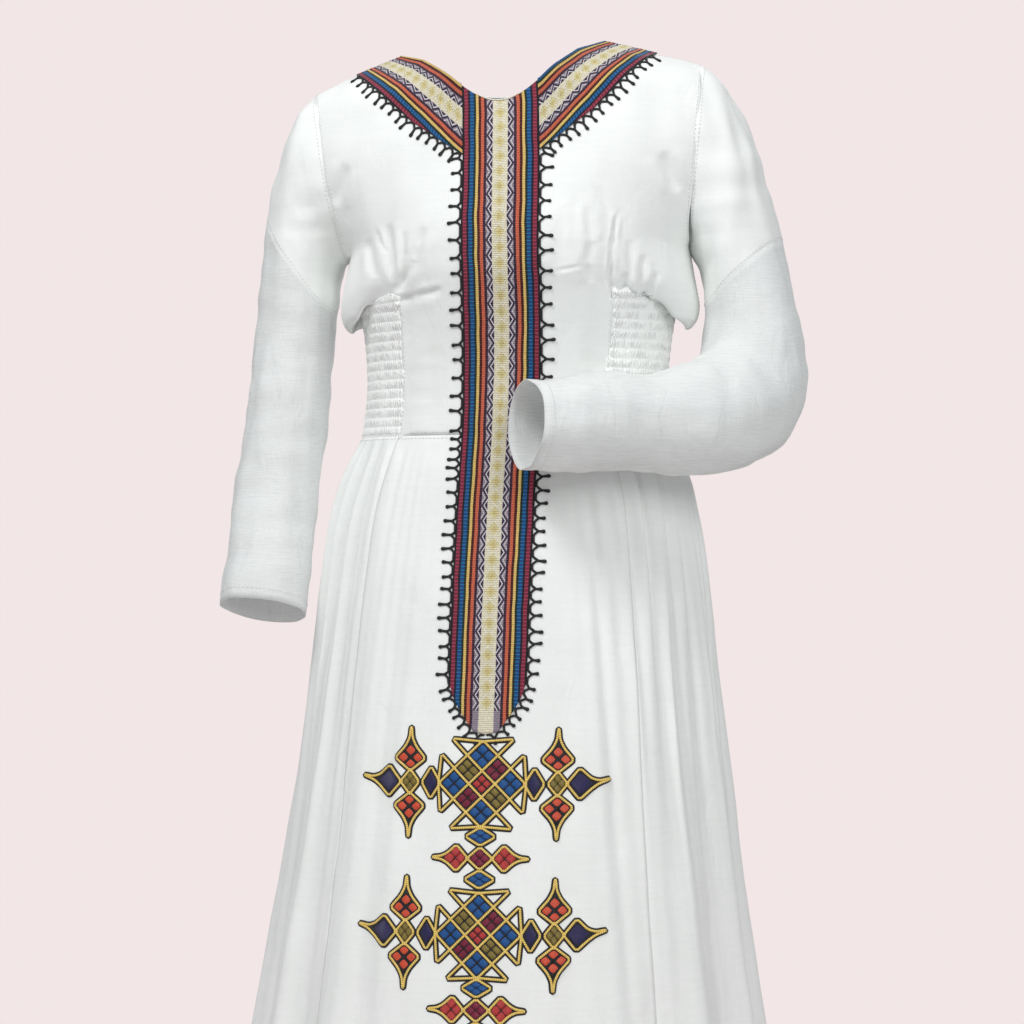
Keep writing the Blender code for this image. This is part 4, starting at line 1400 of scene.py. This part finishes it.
@dataclass
class Skirt:
    """The four panels of the skirt, gathered into the waist seam at the sides."""

    finish: bpy.types.Material
    seams: Seams
    pieces: list[bpy.types.Object] = field(default_factory=list)

    @staticmethod
    def folds(points: np.ndarray) -> np.ndarray:
        """Fine gathers that fall from the waist seam and soften towards the hem.

        Args:
            points: The cloth's points.

        Returns:
            One distance out for each point.
        """
        turn = np.arctan2(points[:, 0], -(points[:, 1] - SIDE_LINE_Y))
        height = points[:, 2]
        below = WAIST_SEAM - height
        side = ease(np.abs(np.degrees(turn)), 20.0, 52.0) * ease(180 - np.abs(np.degrees(turn)), 20.0, 52.0)
        fine = np.array([noise.noise(Vector((t * 17.0, h * 1.6, 4.0))) for t, h in zip(turn, height)])
        wide = np.array([noise.noise(Vector((t * 5.0, h * 1.1, 9.0))) for t, h in zip(turn, height)])
        fine_depth = ease(below, 0.002, 0.03) * (0.0060 - 0.0036 * ease(below, 0.06, 0.50))
        wide_depth = ease(below, 0.02, 0.30) * 0.0090
        calm = ease(np.abs(points[:, 0]), 0.045, 0.12)
        return (fine * fine_depth * (0.15 + 0.85 * side) + wide * wide_depth) * (0.25 + 0.75 * np.maximum(
            calm, (points[:, 1] > 0)))

    def build(self) -> None:
        """Makes the four panels."""
        for node, levels, flat, held in (
                ("front_skirt", 3, (0.40, 0.96), "hung"), ("left_side_skirt", 2, (0.62, 0.96), "gathered"),
                ("back_skirt", 3, (0.40, 0.96), "hung"), ("right_side_skirt", 2, (0.62, 0.96), "gathered")):
            carrier = {"front_skirt": "front_bodice", "back_skirt": "back_bodice",
                       "left_side_skirt": "left_smocked_waist",
                       "right_side_skirt": "right_smocked_waist"}[node]
            panel = ClothPanel(node, f"{node}_cloth", levels, CLOTH, flat, held, (carrier,))
            piece = panel.outer_face()
            panel.rounded(piece)
            points = coordinates(piece.data)
            panel.push(piece, self.folds(points) + soft_unevenness(points, 0.045, 0.0020, 31.0))
            panel.thicken(piece, sheet_area(piece))
            dress(piece, self.finish)
            self.pieces.append(piece)
            self.seams.panels.append(panel)


# Woven bands


# The lower end of the centre band and the outer edge of the neck bands, as pattern x and z of one side
END_EDGE = np.array(((0.0, -0.7090), (0.0120, -0.7065), (0.0190, -0.6970), (0.0275, -0.6850),
                     (0.0335, -0.6740), (0.0390, -0.6570)))
NECK_EDGE = np.array(((0.039, -0.1275), (0.094, -0.0855), (0.160, -0.0165)))


@dataclass
class Bands:
    """The woven bands down the centre front and along the neckline."""

    finish: bpy.types.Material
    cream: bpy.types.Material
    surface: Surface
    half: float = 0.039
    notch: tuple[float, float] = (-0.074, 0.5814)
    lift: float = 0.0015
    cord_rise: float = 0.0006
    pieces: list[bpy.types.Object] = field(default_factory=list)

    def rise(self, share: np.ndarray) -> np.ndarray:
        """How far the band's cords and middle stand out, by the share of its half width."""
        out = np.zeros_like(share)
        start = 0.0
        for row in TIBEB_STRIPES:
            if row.kind is Stripe.CORD:
                t = (share - start) / (row.out_to - start)
                out += self.cord_rise * np.clip(1 - (2 * t - 1) ** 2, 0, 1)
            start = row.out_to
        out += 0.00035 * ease(0.20 - share, 0.0, 0.05)
        return out

    def lay(self, pattern: np.ndarray, shares: np.ndarray) -> tuple[np.ndarray, np.ndarray]:
        """Lays a grid of pattern places on the cloth.

        Args:
            pattern: Rows and columns of pattern x and z.
            shares: The share of the half width at each.

        Returns:
            The band's points, and the directions out of it.
        """
        places = np.array([[self.surface.on_pattern(x, z) for x, z in row] for row in pattern])
        normals = smoothed_normals(places[:, :, 1], 3)
        return places[:, :, 0] + normals * (self.lift + self.rise(shares))[:, :, None], normals

    def finish_band(self, name: str, node: str, points: np.ndarray, flat: np.ndarray,
                    cut: tuple[float, float]) -> None:
        """Makes one band of its points.

        Args:
            name: The piece's name.
            node: The node that it replaces.
            points: Its grid of points.
            flat: The same grid on the flat band, for the weave.
            cut: The width and length that it was cut to.
        """
        piece = woven_grid(name, points, flat)
        area = sheet_area(piece)
        apply_modifier(piece, "SOLIDIFY", thickness=0.0012, offset=-1.0, use_even_offset=False)
        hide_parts(node)
        declare_cloth(cut, area)
        dress(piece, self.finish)
        self.pieces.append(piece)

    def centre(self) -> None:
        """Makes the centre band, from the notch of the neckline to its round end."""
        shares = np.linspace(-1, 1, 75)
        rows = np.linspace(0, 1, 230)
        x = shares * self.half
        notch = self.notch[0] + self.notch[1] * np.abs(x)
        top = np.array([self.surface.top_edge(place, height) for place, height in zip(x, notch)])
        top = np.convolve(np.pad(top, 2, mode="edge"), np.full(5, 0.2), mode="valid") + 0.0008
        low = np.interp(np.abs(x), *END_EDGE.T)
        heights = low[None, :] + (top - low)[None, :] * rows[:, None]
        pattern = np.stack([np.broadcast_to(x, heights.shape), heights], axis=2)
        full = np.broadcast_to(np.abs(shares), heights.shape)
        points, _ = self.lay(pattern, full)
        self.finish_band("centre_tibeb_band", "centre_tibeb", points, pattern, (0.079, 0.66))
        self._piping(points[-1])

    def _piping(self, edge: np.ndarray) -> None:
        """Lays the thin cream edge along the bottom of the neckline's notch.

        Args:
            edge: The band's upper edge.
        """
        line = edge[18:-18] + (0.0, -0.0003, 0.0002)
        bundle = ThreadBundle(sides=6)
        bundle.add(line, np.tile((0.0, -1.0, 0.0), (len(line), 1)), 0.0008, 0.0008)
        piece = bundle.piece("neckline_piping")
        dress(piece, self.cream)

    def neckline(self, side: int) -> np.ndarray:
        """The pattern's neckline from the centre band up to the shoulder seam, as x and z."""
        rows = np.array(((0.039, -0.0510), (0.043, -0.0480), (0.059, -0.0318), (0.081, -0.0130),
                         (0.108, 0.0)))
        lengths = np.concatenate([[0], np.cumsum(np.linalg.norm(np.diff(rows, axis=0), axis=1))])
        even = np.linspace(0, lengths[-1], 64)
        line = np.stack([np.interp(even, lengths, rows[:, k]) for k in (0, 1)], axis=1)
        return line * (side, 1)

    def neck(self, side: int) -> None:
        """Makes the band along one side of the neckline.

        Args:
            side: -1 for the wearer's right, 1 for the left.
        """
        inner, t = self.neckline(1), np.linspace(0, 1, 64)
        x = self.half + 0.0004 + (NECK_EDGE[-1, 0] - self.half) * t
        outer = np.stack([x, np.interp(x, *NECK_EDGE.T)], axis=1)
        across = np.linspace(0, 1, 52)[:, None]
        places = outer[None] * (1 - across[:, :, None]) + inner[None] * across[:, :, None]
        start = -0.64 if side < 0 else -0.76
        last = 0.64 + 0.36 * ease(t, -0.1, 0.6)
        share = start + (last - start) * (1 - across)
        flat = np.stack([share * self.half, np.broadcast_to(t * 0.155, share.shape)], axis=2)
        pattern = places * (side, 1)
        order = slice(None) if side > 0 else slice(None, None, -1)
        pattern, flat = pattern[:, order], flat[:, order]
        points, _ = self.lay(pattern, np.abs(flat[:, :, 0]) / self.half)
        label = "left" if side > 0 else "right"
        self.finish_band(f"{label}_neck_tibeb_band", f"{label}_neck_tibeb", points, flat, (0.11, 0.16))


@dataclass
class Edging:
    """The black looped stitch along the outer edges of the bands."""

    finish: bpy.types.Material
    surface: Surface
    thread: float = 0.00125
    stub: float = 0.0122

    @staticmethod
    def path(side: int) -> tuple[np.ndarray, np.ndarray]:
        """Follows the outer edge on one side from the shoulder down to the middle of the round end.

        Args:
            side: -1 for the wearer's right, 1 for the left.

        Returns:
            Even pattern places 1 mm apart, and the direction away from the band at each.
        """
        neck = NECK_EDGE[::-1] + ((-0.003, -0.003), (0.0003, -0.0006), (0.0016, 0.0004))
        corners = np.concatenate([neck, ((0.0400, -0.1310), (0.0398, -0.1420)),
                                  END_EDGE[::-1] + (0.0006, -0.0006)])
        lengths = np.concatenate([[0], np.cumsum(np.linalg.norm(np.diff(corners, axis=0), axis=1))])
        even = np.arange(0, lengths[-1], 0.001)
        line = np.stack([np.interp(even, lengths, corners[:, k]) for k in (0, 1)], axis=1)
        for _ in range(3):
            line[2:-2] = sum(line[k:len(line) - 4 + k] for k in range(5)) / 5
        along = np.gradient(line, axis=0)
        along /= np.linalg.norm(along, axis=1, keepdims=True)
        out = np.stack([-along[:, 1], along[:, 0]], axis=1)
        return line * (side, 1), out * (side, 1)

    @staticmethod
    def spacing(z: float) -> float:
        """How far apart the stubs are at a height."""
        if z < -0.655:
            return 0.0092
        if z > -0.128:
            return 0.0105
        return 0.0172 if z > -0.395 else 0.0098 if z > -0.455 else 0.0138

    def build(self) -> bpy.types.Object:
        """Makes the whole edging.

        Returns:
            The piece.
        """
        bundle = ThreadBundle(sides=7)
        for side in (-1, 1):
            line, out = self.path(side)
            stubs, place = [], 5
            while place < len(line) - 3:
                stubs.append(place)
                wobble = 1 + 0.09 * math.sin(len(stubs) * 2.3 + side)
                place += max(6, round(self.spacing(line[place, 1]) * wobble * 1000))
            reach = [self.stub * (1 + 0.12 * math.sin(i * 5.1 + side)) * (0.86 if here[1] < -0.655 else 1.0)
                     for i, here in enumerate(line[stubs])]
            root = [size * (0.34 if side < 0 else 0.44) for size in reach]
            level = np.full(len(line), 0.0002)
            for height, centre in zip(root, stubs):
                for way, arm in ((-1, 3.4 if side < 0 and line[centre, 1] < -0.45 else 5.4), (1, 5.6)):
                    away = (np.arange(len(line)) - centre) * way
                    near = np.clip(1 - away / arm, 0, 1) * (away >= 0)
                    level = np.maximum(level, height * near ** 1.9)
            self._run(bundle, (line + out * level[:, None])[::1], self.thread)
            for i, (centre, size, height) in enumerate(zip(stubs, reach, root)):
                along = np.array((-out[centre, 1], out[centre, 0]))
                lean = along * 0.0012 * math.sin(i * 3.7)
                steps = np.linspace(height * 0.7 / size, 1, 6)
                bar = np.array([line[centre] + out[centre] * size * t + lean * t for t in steps])
                self._run(bundle, bar, self.thread * 1.12, (1.0, 0.95, 0.95, 1.08, 1.45, 1.2))
        piece = bundle.piece("edging_stitch")
        dress(piece, self.finish)
        return piece

    def _run(self, bundle: ThreadBundle, line: np.ndarray, radius: float, swell: Sequence[float] | None = None,
             lift: float = 0.0006) -> None:
        """Lays one thread on the cloth along pattern places."""
        found = [self.surface.on_pattern(x, z) for x, z in line]
        normals = smoothed_normals(np.array([place[1] for place in found]), 2)
        points = np.array([place[0] for place in found]) + normals * lift
        bundle.add(points, normals, radius, radius * 0.85, swell)


# Cross embroidery


class Silk(Enum):
    """The colours of the satin stitched cells: each silk's own colour, and the darker colour painted as shade
    in its thread's grooves.
    """

    BLUE = ("blue satin stitch", (0, 98, 172), (6, 48, 104))
    NAVY = ("navy satin stitch", (38, 32, 92), (18, 14, 52))
    RED = ("red satin stitch", (214, 66, 62), (128, 22, 34))
    ORANGE = ("orange satin stitch", (242, 96, 56), (164, 40, 36))
    MAROON = ("maroon satin stitch", (150, 26, 66), (78, 10, 38))
    OLIVE = ("olive satin stitch", (156, 136, 58), (66, 54, 20))


@dataclass
class Cross:
    """The chain of stitched crosses down the front of the skirt, in units of about a millimetre."""

    gold: bpy.types.Material
    black: bpy.types.Material
    silks: dict[Silk, bpy.types.Material]
    surface: Surface
    centre: tuple[float, float] = (-0.0022, -0.7571)
    unit: tuple[float, float] = (0.00098, 0.000957)
    gold_half: float = 0.00125
    black_half: float = 0.0030

    def __post_init__(self) -> None:
        """Starts with no cords and no cells."""
        self.gold_lines = ThreadBundle(sides=8)
        self.black_lines = ThreadBundle(sides=8)
        self.cells: dict[Silk | None, list[tuple[np.ndarray, float]]] = {}

    def on_cloth(self, x: float, y: float) -> tuple[np.ndarray, np.ndarray]:
        """Finds the cloth at a place of the drawing."""
        return self.surface.on_pattern(self.centre[0] + x * self.unit[0], self.centre[1] + y * self.unit[1])

    def cord(self, corners: Sequence[tuple[float, float]], closed: bool = True, soften: float = 0.16) -> None:
        """Lays a gold cord with its black edges.

        Args:
            corners: The drawing's corners.
            closed: Whether the last corner joins the first.
            soften: The share of each side that a corner's bend takes.
        """
        points = np.array(corners, float)
        line: list[np.ndarray] = []
        count = len(points)
        for i in range(count if closed else count - 1):
            here, there = points[i], points[(i + 1) % count]
            bend = min(soften, 2.2 / max(np.linalg.norm(there - here), 1e-9))
            inner = np.linspace(bend, 1 - bend, max(3, int(np.linalg.norm(there - here) / 2.4)))
            if not closed and i == 0:
                inner = np.concatenate([[0.0], inner])
            if not closed and i == count - 2:
                inner = np.concatenate([inner, [1.0]])
            line.extend(here + (there - here) * t for t in inner)
        found = [self.on_cloth(x, y) for x, y in line]
        normals = smoothed_normals(np.array([place[1] for place in found]), 2)
        base = np.array([place[0] for place in found])
        self.black_lines.add(base + normals * 0.0003, normals, self.black_half, 0.0010, closed=closed)
        self.gold_lines.add(base + normals * 0.0009, normals, self.gold_half, 0.0013, closed=closed)

    def cell(self, corners: Sequence[tuple[float, float]], silk: Silk, divided: bool = True) -> None:
        """Fills a four-cornered cell.

        Args:
            corners: The cell's corners in order.
            silk: Its colour.
            divided: Whether black lines part it into four.
        """
        a, b, c, d = (np.array(corner, float) for corner in corners)

        def at(s: float, t: float) -> np.ndarray:
            """A place of the cell by its shares across."""
            return (a * (1 - s) + b * s) * (1 - t) + (d * (1 - s) + c * s) * t

        self._patch([at(-0.12, -0.12), at(1.12, -0.12), at(1.12, 1.12), at(-0.12, 1.12)], None, 0.0003, 0.0)
        low, high, gap = 0.0, 1.0, 0.026
        spans = ((low, 0.5 - gap), (0.5 + gap, high)) if divided else ((low, high),)
        for s0, s1 in spans:
            for t0, t1 in spans:
                self._patch([at(s0, t0), at(s1, t0), at(s1, t1), at(s0, t1)], silk, 0.0005,
                            0.0010 if divided else 0.0013, 0.34 if divided else 0.1)

    def _patch(self, corners: Sequence[np.ndarray], silk: Silk | None, lift: float, dome: float,
               roundness: float = 0.0) -> None:
        """Keeps one small filled patch, a grid of points on the cloth.

        Args:
            corners: The patch's corners in order.
            silk: Its colour, or None for the black ground.
            lift: How far its edge is above the cloth.
            dome: How far its middle bulges.
            roundness: How far its corners are rounded off, from 0 to 1.
        """
        a, b, c, d = corners
        rows = []
        for t in np.linspace(0, 1, 6):
            row = []
            for s in np.linspace(0, 1, 6):
                u, v = 2 * s - 1, 2 * t - 1
                s1 = s + roundness * (0.5 + 0.5 * u * math.sqrt(1 - v * v / 2) - s)
                t1 = t + roundness * (0.5 + 0.5 * v * math.sqrt(1 - u * u / 2) - t)
                x, y = (a * (1 - s1) + b * s1) * (1 - t1) + (d * (1 - s1) + c * s1) * t1
                point, normal = self.on_cloth(x, y)
                bulge = dome * (16 * s * (1 - s) * t * (1 - t)) ** 0.4
                row.append(point + normal * (lift + bulge))
            rows.append(row)
        size = float(np.linalg.norm(b - a)) * self.unit[0]
        self.cells.setdefault(silk, []).append((np.array(rows), size))

    def leaf(self, base: tuple[float, float], way: tuple[float, float], silk: Silk, divided: bool,
             width: float = 16, belly: float = 12.0, tip: float = 42.0, slant: float = 0.0) -> None:
        """Makes one leaf: a rhomb that draws out into a point.

        Args:
            base: The leaf's inner corner.
            way: The direction that it points in.
            silk: Its colour.
            divided: Whether its cell is parted into four.
            width: Half its width.
            belly: How far out it is widest.
            tip: How far out its tip is.
            slant: How far its tip leans to one side.
        """
        start, out = np.array(base, float), np.array(way, float)
        side = np.array((-out[1], out[0]))

        def at(along: float, across: float) -> tuple[float, float]:
            """A place of the leaf by how far out and aside it is."""
            return tuple(start + out * along + side * across)

        reach, size = tip - belly, width / 16
        waist, neck = belly + reach * 0.38, belly + reach * 0.66
        right = [at(belly, width), at(waist, width * 0.36), at(neck, slant * 0.4 + 1.5)]
        left = [at(neck, slant * 0.4 - 1.5), at(waist, -width * 0.36), at(belly, -width)]
        self.cord([at(0, 0), *right, at(tip, slant + 0.5), at(tip, slant - 0.5), *left], soften=0.2)
        ground = ((1, 0), (belly, -width * 0.95), (belly + reach * 0.7, 0), (belly, width * 0.95))
        self._patch([np.array(at(*place)) for place in ground], None, 0.0003, 0.0)
        self.cell([at(belly - 11.0 * size, 0), at(belly, -14.2 * size), at(belly + 15.0 * size, 0),
                   at(belly, 14.2 * size)], silk, divided)

    def large(self, y: float, radius: float = 44.0) -> None:
        """Makes a large cross with its side crosses, at a height of the drawing."""
        k = radius / 44.0
        middle = 0.28 * radius
        bands = ((-radius, -middle), (-middle, middle), (middle, radius))
        silks = ((Silk.BLUE, Silk.MAROON, Silk.BLUE), (Silk.OLIVE, Silk.RED, Silk.OLIVE),
                 (Silk.BLUE, Silk.MAROON, Silk.BLUE))
        for (u0, u1), row in zip(bands, silks):
            for (v0, v1), silk in zip(bands, row):
                low_u, high_u, low_v, high_v = u0 + 2.7, u1 - 2.7, v0 + 2.7, v1 - 2.7
                corners = ((low_u, low_v), (high_u, low_v), (high_u, high_v), (low_u, high_v))
                self.cell([((u + v) / 2, (u - v) / 2 + y) for u, v in corners], silk)
        self.cord([(0, radius + y), (radius, y), (0, y - radius), (-radius, y)], soften=0.05)
        near, far = 31.5 * k, 45.5 * k
        wide, low = 42 * k, 29.5 * k
        loop = [(near, far), (-wide, -low), (-radius - 0.5, 0), (-wide, low), (near, -far), (0, -radius + 1),
                (-near, -far), (wide, low), (radius + 0.5, 0), (wide, -low), (-near, far), (0, radius - 1)]
        self.cord([(px, py + y) for px, py in loop], soften=0.12)
        for side in (-1, 1):
            cx = side * 75
            self.cell([(cx, y + 9.6), (cx - 7.8, y), (cx, y - 9.6), (cx + 7.8, y)], Silk.OLIVE)
            self.cord([(cx, y + 12.6), (cx + 10, y), (cx, y - 12.6), (cx - 10, y)])
            for up in (-1, 1):
                self.leaf((cx, y + up * 11), (0, up), Silk.ORANGE, True, 16, 13, 44.5)
            self.leaf((cx + side * 9, y), (side, 0), Silk.NAVY, False, 16, 13, 41, slant=side * 4)
            dx = side * 52.5
            self.cell([(dx, y + 13), (dx - 7.6, y), (dx, y - 13), (dx + 7.6, y)], Silk.NAVY, False)
            self.cord([(dx, y + 16.5), (dx + 10, y), (dx, y - 16.5), (dx - 10, y)])

    def link(self, y: float) -> None:
        """Makes the small cross between two large ones, with a diamond above and below, at a height."""
        for dy in (22.0, -21.0):
            self.cell([(0, y + dy + 6.9), (-11.6, y + dy), (0, y + dy - 6.9), (11.6, y + dy)], Silk.BLUE)
            self.cord([(0, y + dy + 9.4), (15.4, y + dy), (0, y + dy - 9.4), (-15.4, y + dy)])
        self.cell([(0, y + 9), (-10.2, y), (0, y - 9), (10.2, y)], Silk.MAROON)
        self.cord([(0, y + 11.6), (13, y), (0, y - 11.6), (-13, y)])
        for side in (-1, 1):
            self.leaf((side * 12, y), (side, 0), Silk.RED, True, 13.5, 12, 36)

    def build(self) -> list[bpy.types.Object]:
        """Makes the whole chain.

        Returns:
            The pieces.
        """
        self.large(0.0)
        self.link(-75.0)
        self.large(-151.5, 43.0)
        self.link(-226.0)
        made = []
        for name, bundle, finish in (("gold_cord", self.gold_lines, self.gold),
                                     ("black_cord_edge", self.black_lines, self.black)):
            piece = bundle.piece(f"cross_{name}")
            dress(piece, finish)
            made.append(piece)
        for silk, patches in self.cells.items():
            label = "ground" if silk is None else silk.name.lower()
            piece = self._filled(f"cross_{label}_stitch", patches)
            dress(piece, self.black if silk is None else self.silks[silk])
            made.append(piece)
        return made

    @staticmethod
    def _filled(name: str, patches: Sequence[tuple[np.ndarray, float]]) -> bpy.types.Object:
        """Makes one piece of many small patches, with the stitch direction across each."""
        points, faces, flat = [], [], []
        for grid, size in patches:
            rows, columns = grid.shape[:2]
            start = sum(len(part) for part in points)
            points.append(grid.reshape(-1, 3))
            for r in range(rows - 1):
                for c in range(columns - 1):
                    corners = ((r, c), (r, c + 1), (r + 1, c + 1), (r + 1, c))
                    faces.append([start + i * columns + j for i, j in corners])
                    flat.extend((i / (rows - 1) * size, j / (columns - 1) * 0.4) for i, j in corners)
        mesh = bpy.data.meshes.new(name)
        mesh.from_pydata(np.concatenate(points), [], faces)
        mesh.uv_layers.new(name="Weave").data.foreach_set("uv", np.array(flat).ravel())
        piece = bpy.data.objects.new(name, mesh)
        bpy.context.scene.collection.objects.link(piece)
        if mesh.polygons[0].normal.y > 0:
            mesh.flip_normals()
        apply_modifier(piece, "SOLIDIFY", thickness=0.0006, offset=-1.0)
        return piece


# The studio


@dataclass(frozen=True)
class Studio:
    """Pale backdrop, floor, soft lights and the camera."""

    backdrop: tuple[int, int, int] = (242, 230, 231)
    floor: float = HEM - 0.030
    azimuth: float = 8.0
    distance: float = 2.4
    target: tuple[float, float, float] = (0.0, 0.0, -0.49)
    lens: float = 80.0

    def build(self) -> None:
        """Makes the stage."""
        scene = bpy.context.scene
        scene.view_settings.view_transform = "Standard"
        world = bpy.data.worlds.new("Pale studio")
        scene.world = world
        world.use_nodes = True
        graph = Graph(world.node_tree)
        base = world.node_tree.nodes["Background"]
        graph.feed(base.inputs["Color"], (0.92, 0.95, 0.97, 1.0))
        graph.feed(base.inputs["Strength"], 0.36)
        seen = graph.node("ShaderNodeBackground")
        graph.feed(seen.inputs["Color"], linear(*self.backdrop))
        mixed = graph.node("ShaderNodeMixShader")
        graph.feed(mixed.inputs[0], graph.node("ShaderNodeLightPath").outputs["Is Camera Ray"])
        graph.feed(mixed.inputs[1], base.outputs[0])
        graph.feed(mixed.inputs[2], seen.outputs[0])
        graph.feed(world.node_tree.nodes["World Output"].inputs[0], mixed.outputs[0])
        self._floor()
        self._camera()
        self._light("key", (-1.1, -2.0, 2.1), 60.0, 1.1)
        self._light("fill", (1.7, -2.2, 0.9), 32.0, 1.6)
        self._light("back", (0.4, 2.6, 1.0), 26.0, 1.8)

    def _floor(self) -> None:
        """A plain round floor below the hem."""
        bpy.ops.object.select_all(action="DESELECT")
        bpy.ops.mesh.primitive_circle_add(vertices=96, radius=1.35, fill_type="NGON",
                                          location=(0, 0, self.floor))
        floor = bpy.context.object
        floor.name = "floor"
        material, graph, shader = new_material("pale floor", 0.85)
        place = graph.node("ShaderNodeTexCoord").outputs["Object"]
        tone = graph.between(graph.grain(place, 2.0, 3.0), 0.3, 0.7)
        graph.feed(shader.inputs["Base Color"], graph.mix(tone, linear(240, 230, 230), linear(234, 224, 224)))
        floor.data.materials.append(material)

    def _camera(self) -> None:
        """The camera at the front, a little to the wearer's left."""
        data = bpy.data.cameras.new("Camera")
        data.lens, data.sensor_width = self.lens, 36.0
        camera = bpy.data.objects.new("Camera", data)
        turn, target = math.radians(self.azimuth), Vector(self.target)
        away = Vector((math.sin(turn), -math.cos(turn), 0.0))
        camera.location = target + away * self.distance
        camera.rotation_euler = (-away).to_track_quat("-Z", "Y").to_euler()
        bpy.context.scene.collection.objects.link(camera)
        bpy.context.scene.camera = camera

    def _light(self, name: str, place: tuple[float, float, float], power: float, size: float) -> None:
        """A large soft lamp that faces the dress."""
        data = bpy.data.lights.new(name, "AREA")
        data.energy, data.size = power, size
        lamp = bpy.data.objects.new(name, data)
        lamp.location = place
        lamp.rotation_euler = (Vector(self.target) - Vector(place)).to_track_quat("-Z", "Y").to_euler()
        bpy.context.scene.collection.objects.link(lamp)


def main() -> None:
    """Builds the dress in the order in which it is sewn, then the studio."""
    logging.basicConfig(level=logging.INFO, format="%(message)s")
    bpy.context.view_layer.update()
    patterns = Patterns()
    cotton = Cotton().build(patterns)
    gauze = Cotton("sheer gauze", (247, 249, 248), (234, 237, 236), thread=0.0008, crumple=0.030,
                   crumple_depth=0.0018, sheerness=0.26).build(patterns)
    # Painted light: the smocked cotton is coloured brighter than the plain cotton, to make up for the shading
    # of its puffs.
    smocked = Cotton("smocked cotton", (254, 255, 253), (249, 251, 248), crumple_depth=0.0005,
                     puffs=0.0014).build(patterns)
    tibeb = Tibeb().build(patterns)
    black = Thread("black edging thread", (24, 20, 24), (8, 6, 8), 0.0026, 0.0003, 0.6).build(patterns)
    gold = Thread("gold cord", (254, 228, 128), (206, 158, 62), 0.0021, 0.0004, 0.45).build(patterns)
    cream = Thread("cream piping", (246, 238, 220), (214, 202, 180), 0.0024, 0.0002, 0.7).build(patterns)
    sewing = Thread("white sewing thread", (238, 240, 238), (196, 198, 196), 0.0010, 0.0001,
                    0.7).build(patterns)

    seams = Seams(sewing)
    bodice = Bodice(cotton, smocked, seams)
    bodice.smocking()
    bodice.panels()
    sleeves = Sleeves(cotton, gauze, seams)
    sleeves.build()
    skirt = Skirt(cotton, seams)
    skirt.build()
    seams.build(Surface([*bodice.pieces, *sleeves.pieces, *skirt.pieces]))
    front = Surface([*bodice.pieces[:3], skirt.pieces[0], skirt.pieces[1], skirt.pieces[3]])

    bands = Bands(tibeb, cream, front)
    bands.centre()
    bands.neck(-1)
    bands.neck(1)
    Edging(black, front).build()
    silks = {silk: Thread(silk.value[0], silk.value[1], silk.value[2], 0.0011, 0.00025, 0.4).build(patterns)
             for silk in Silk}
    Cross(gold, black, silks, front).build()

    Studio().build()
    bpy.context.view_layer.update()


if __name__ == "__main__":
    main()
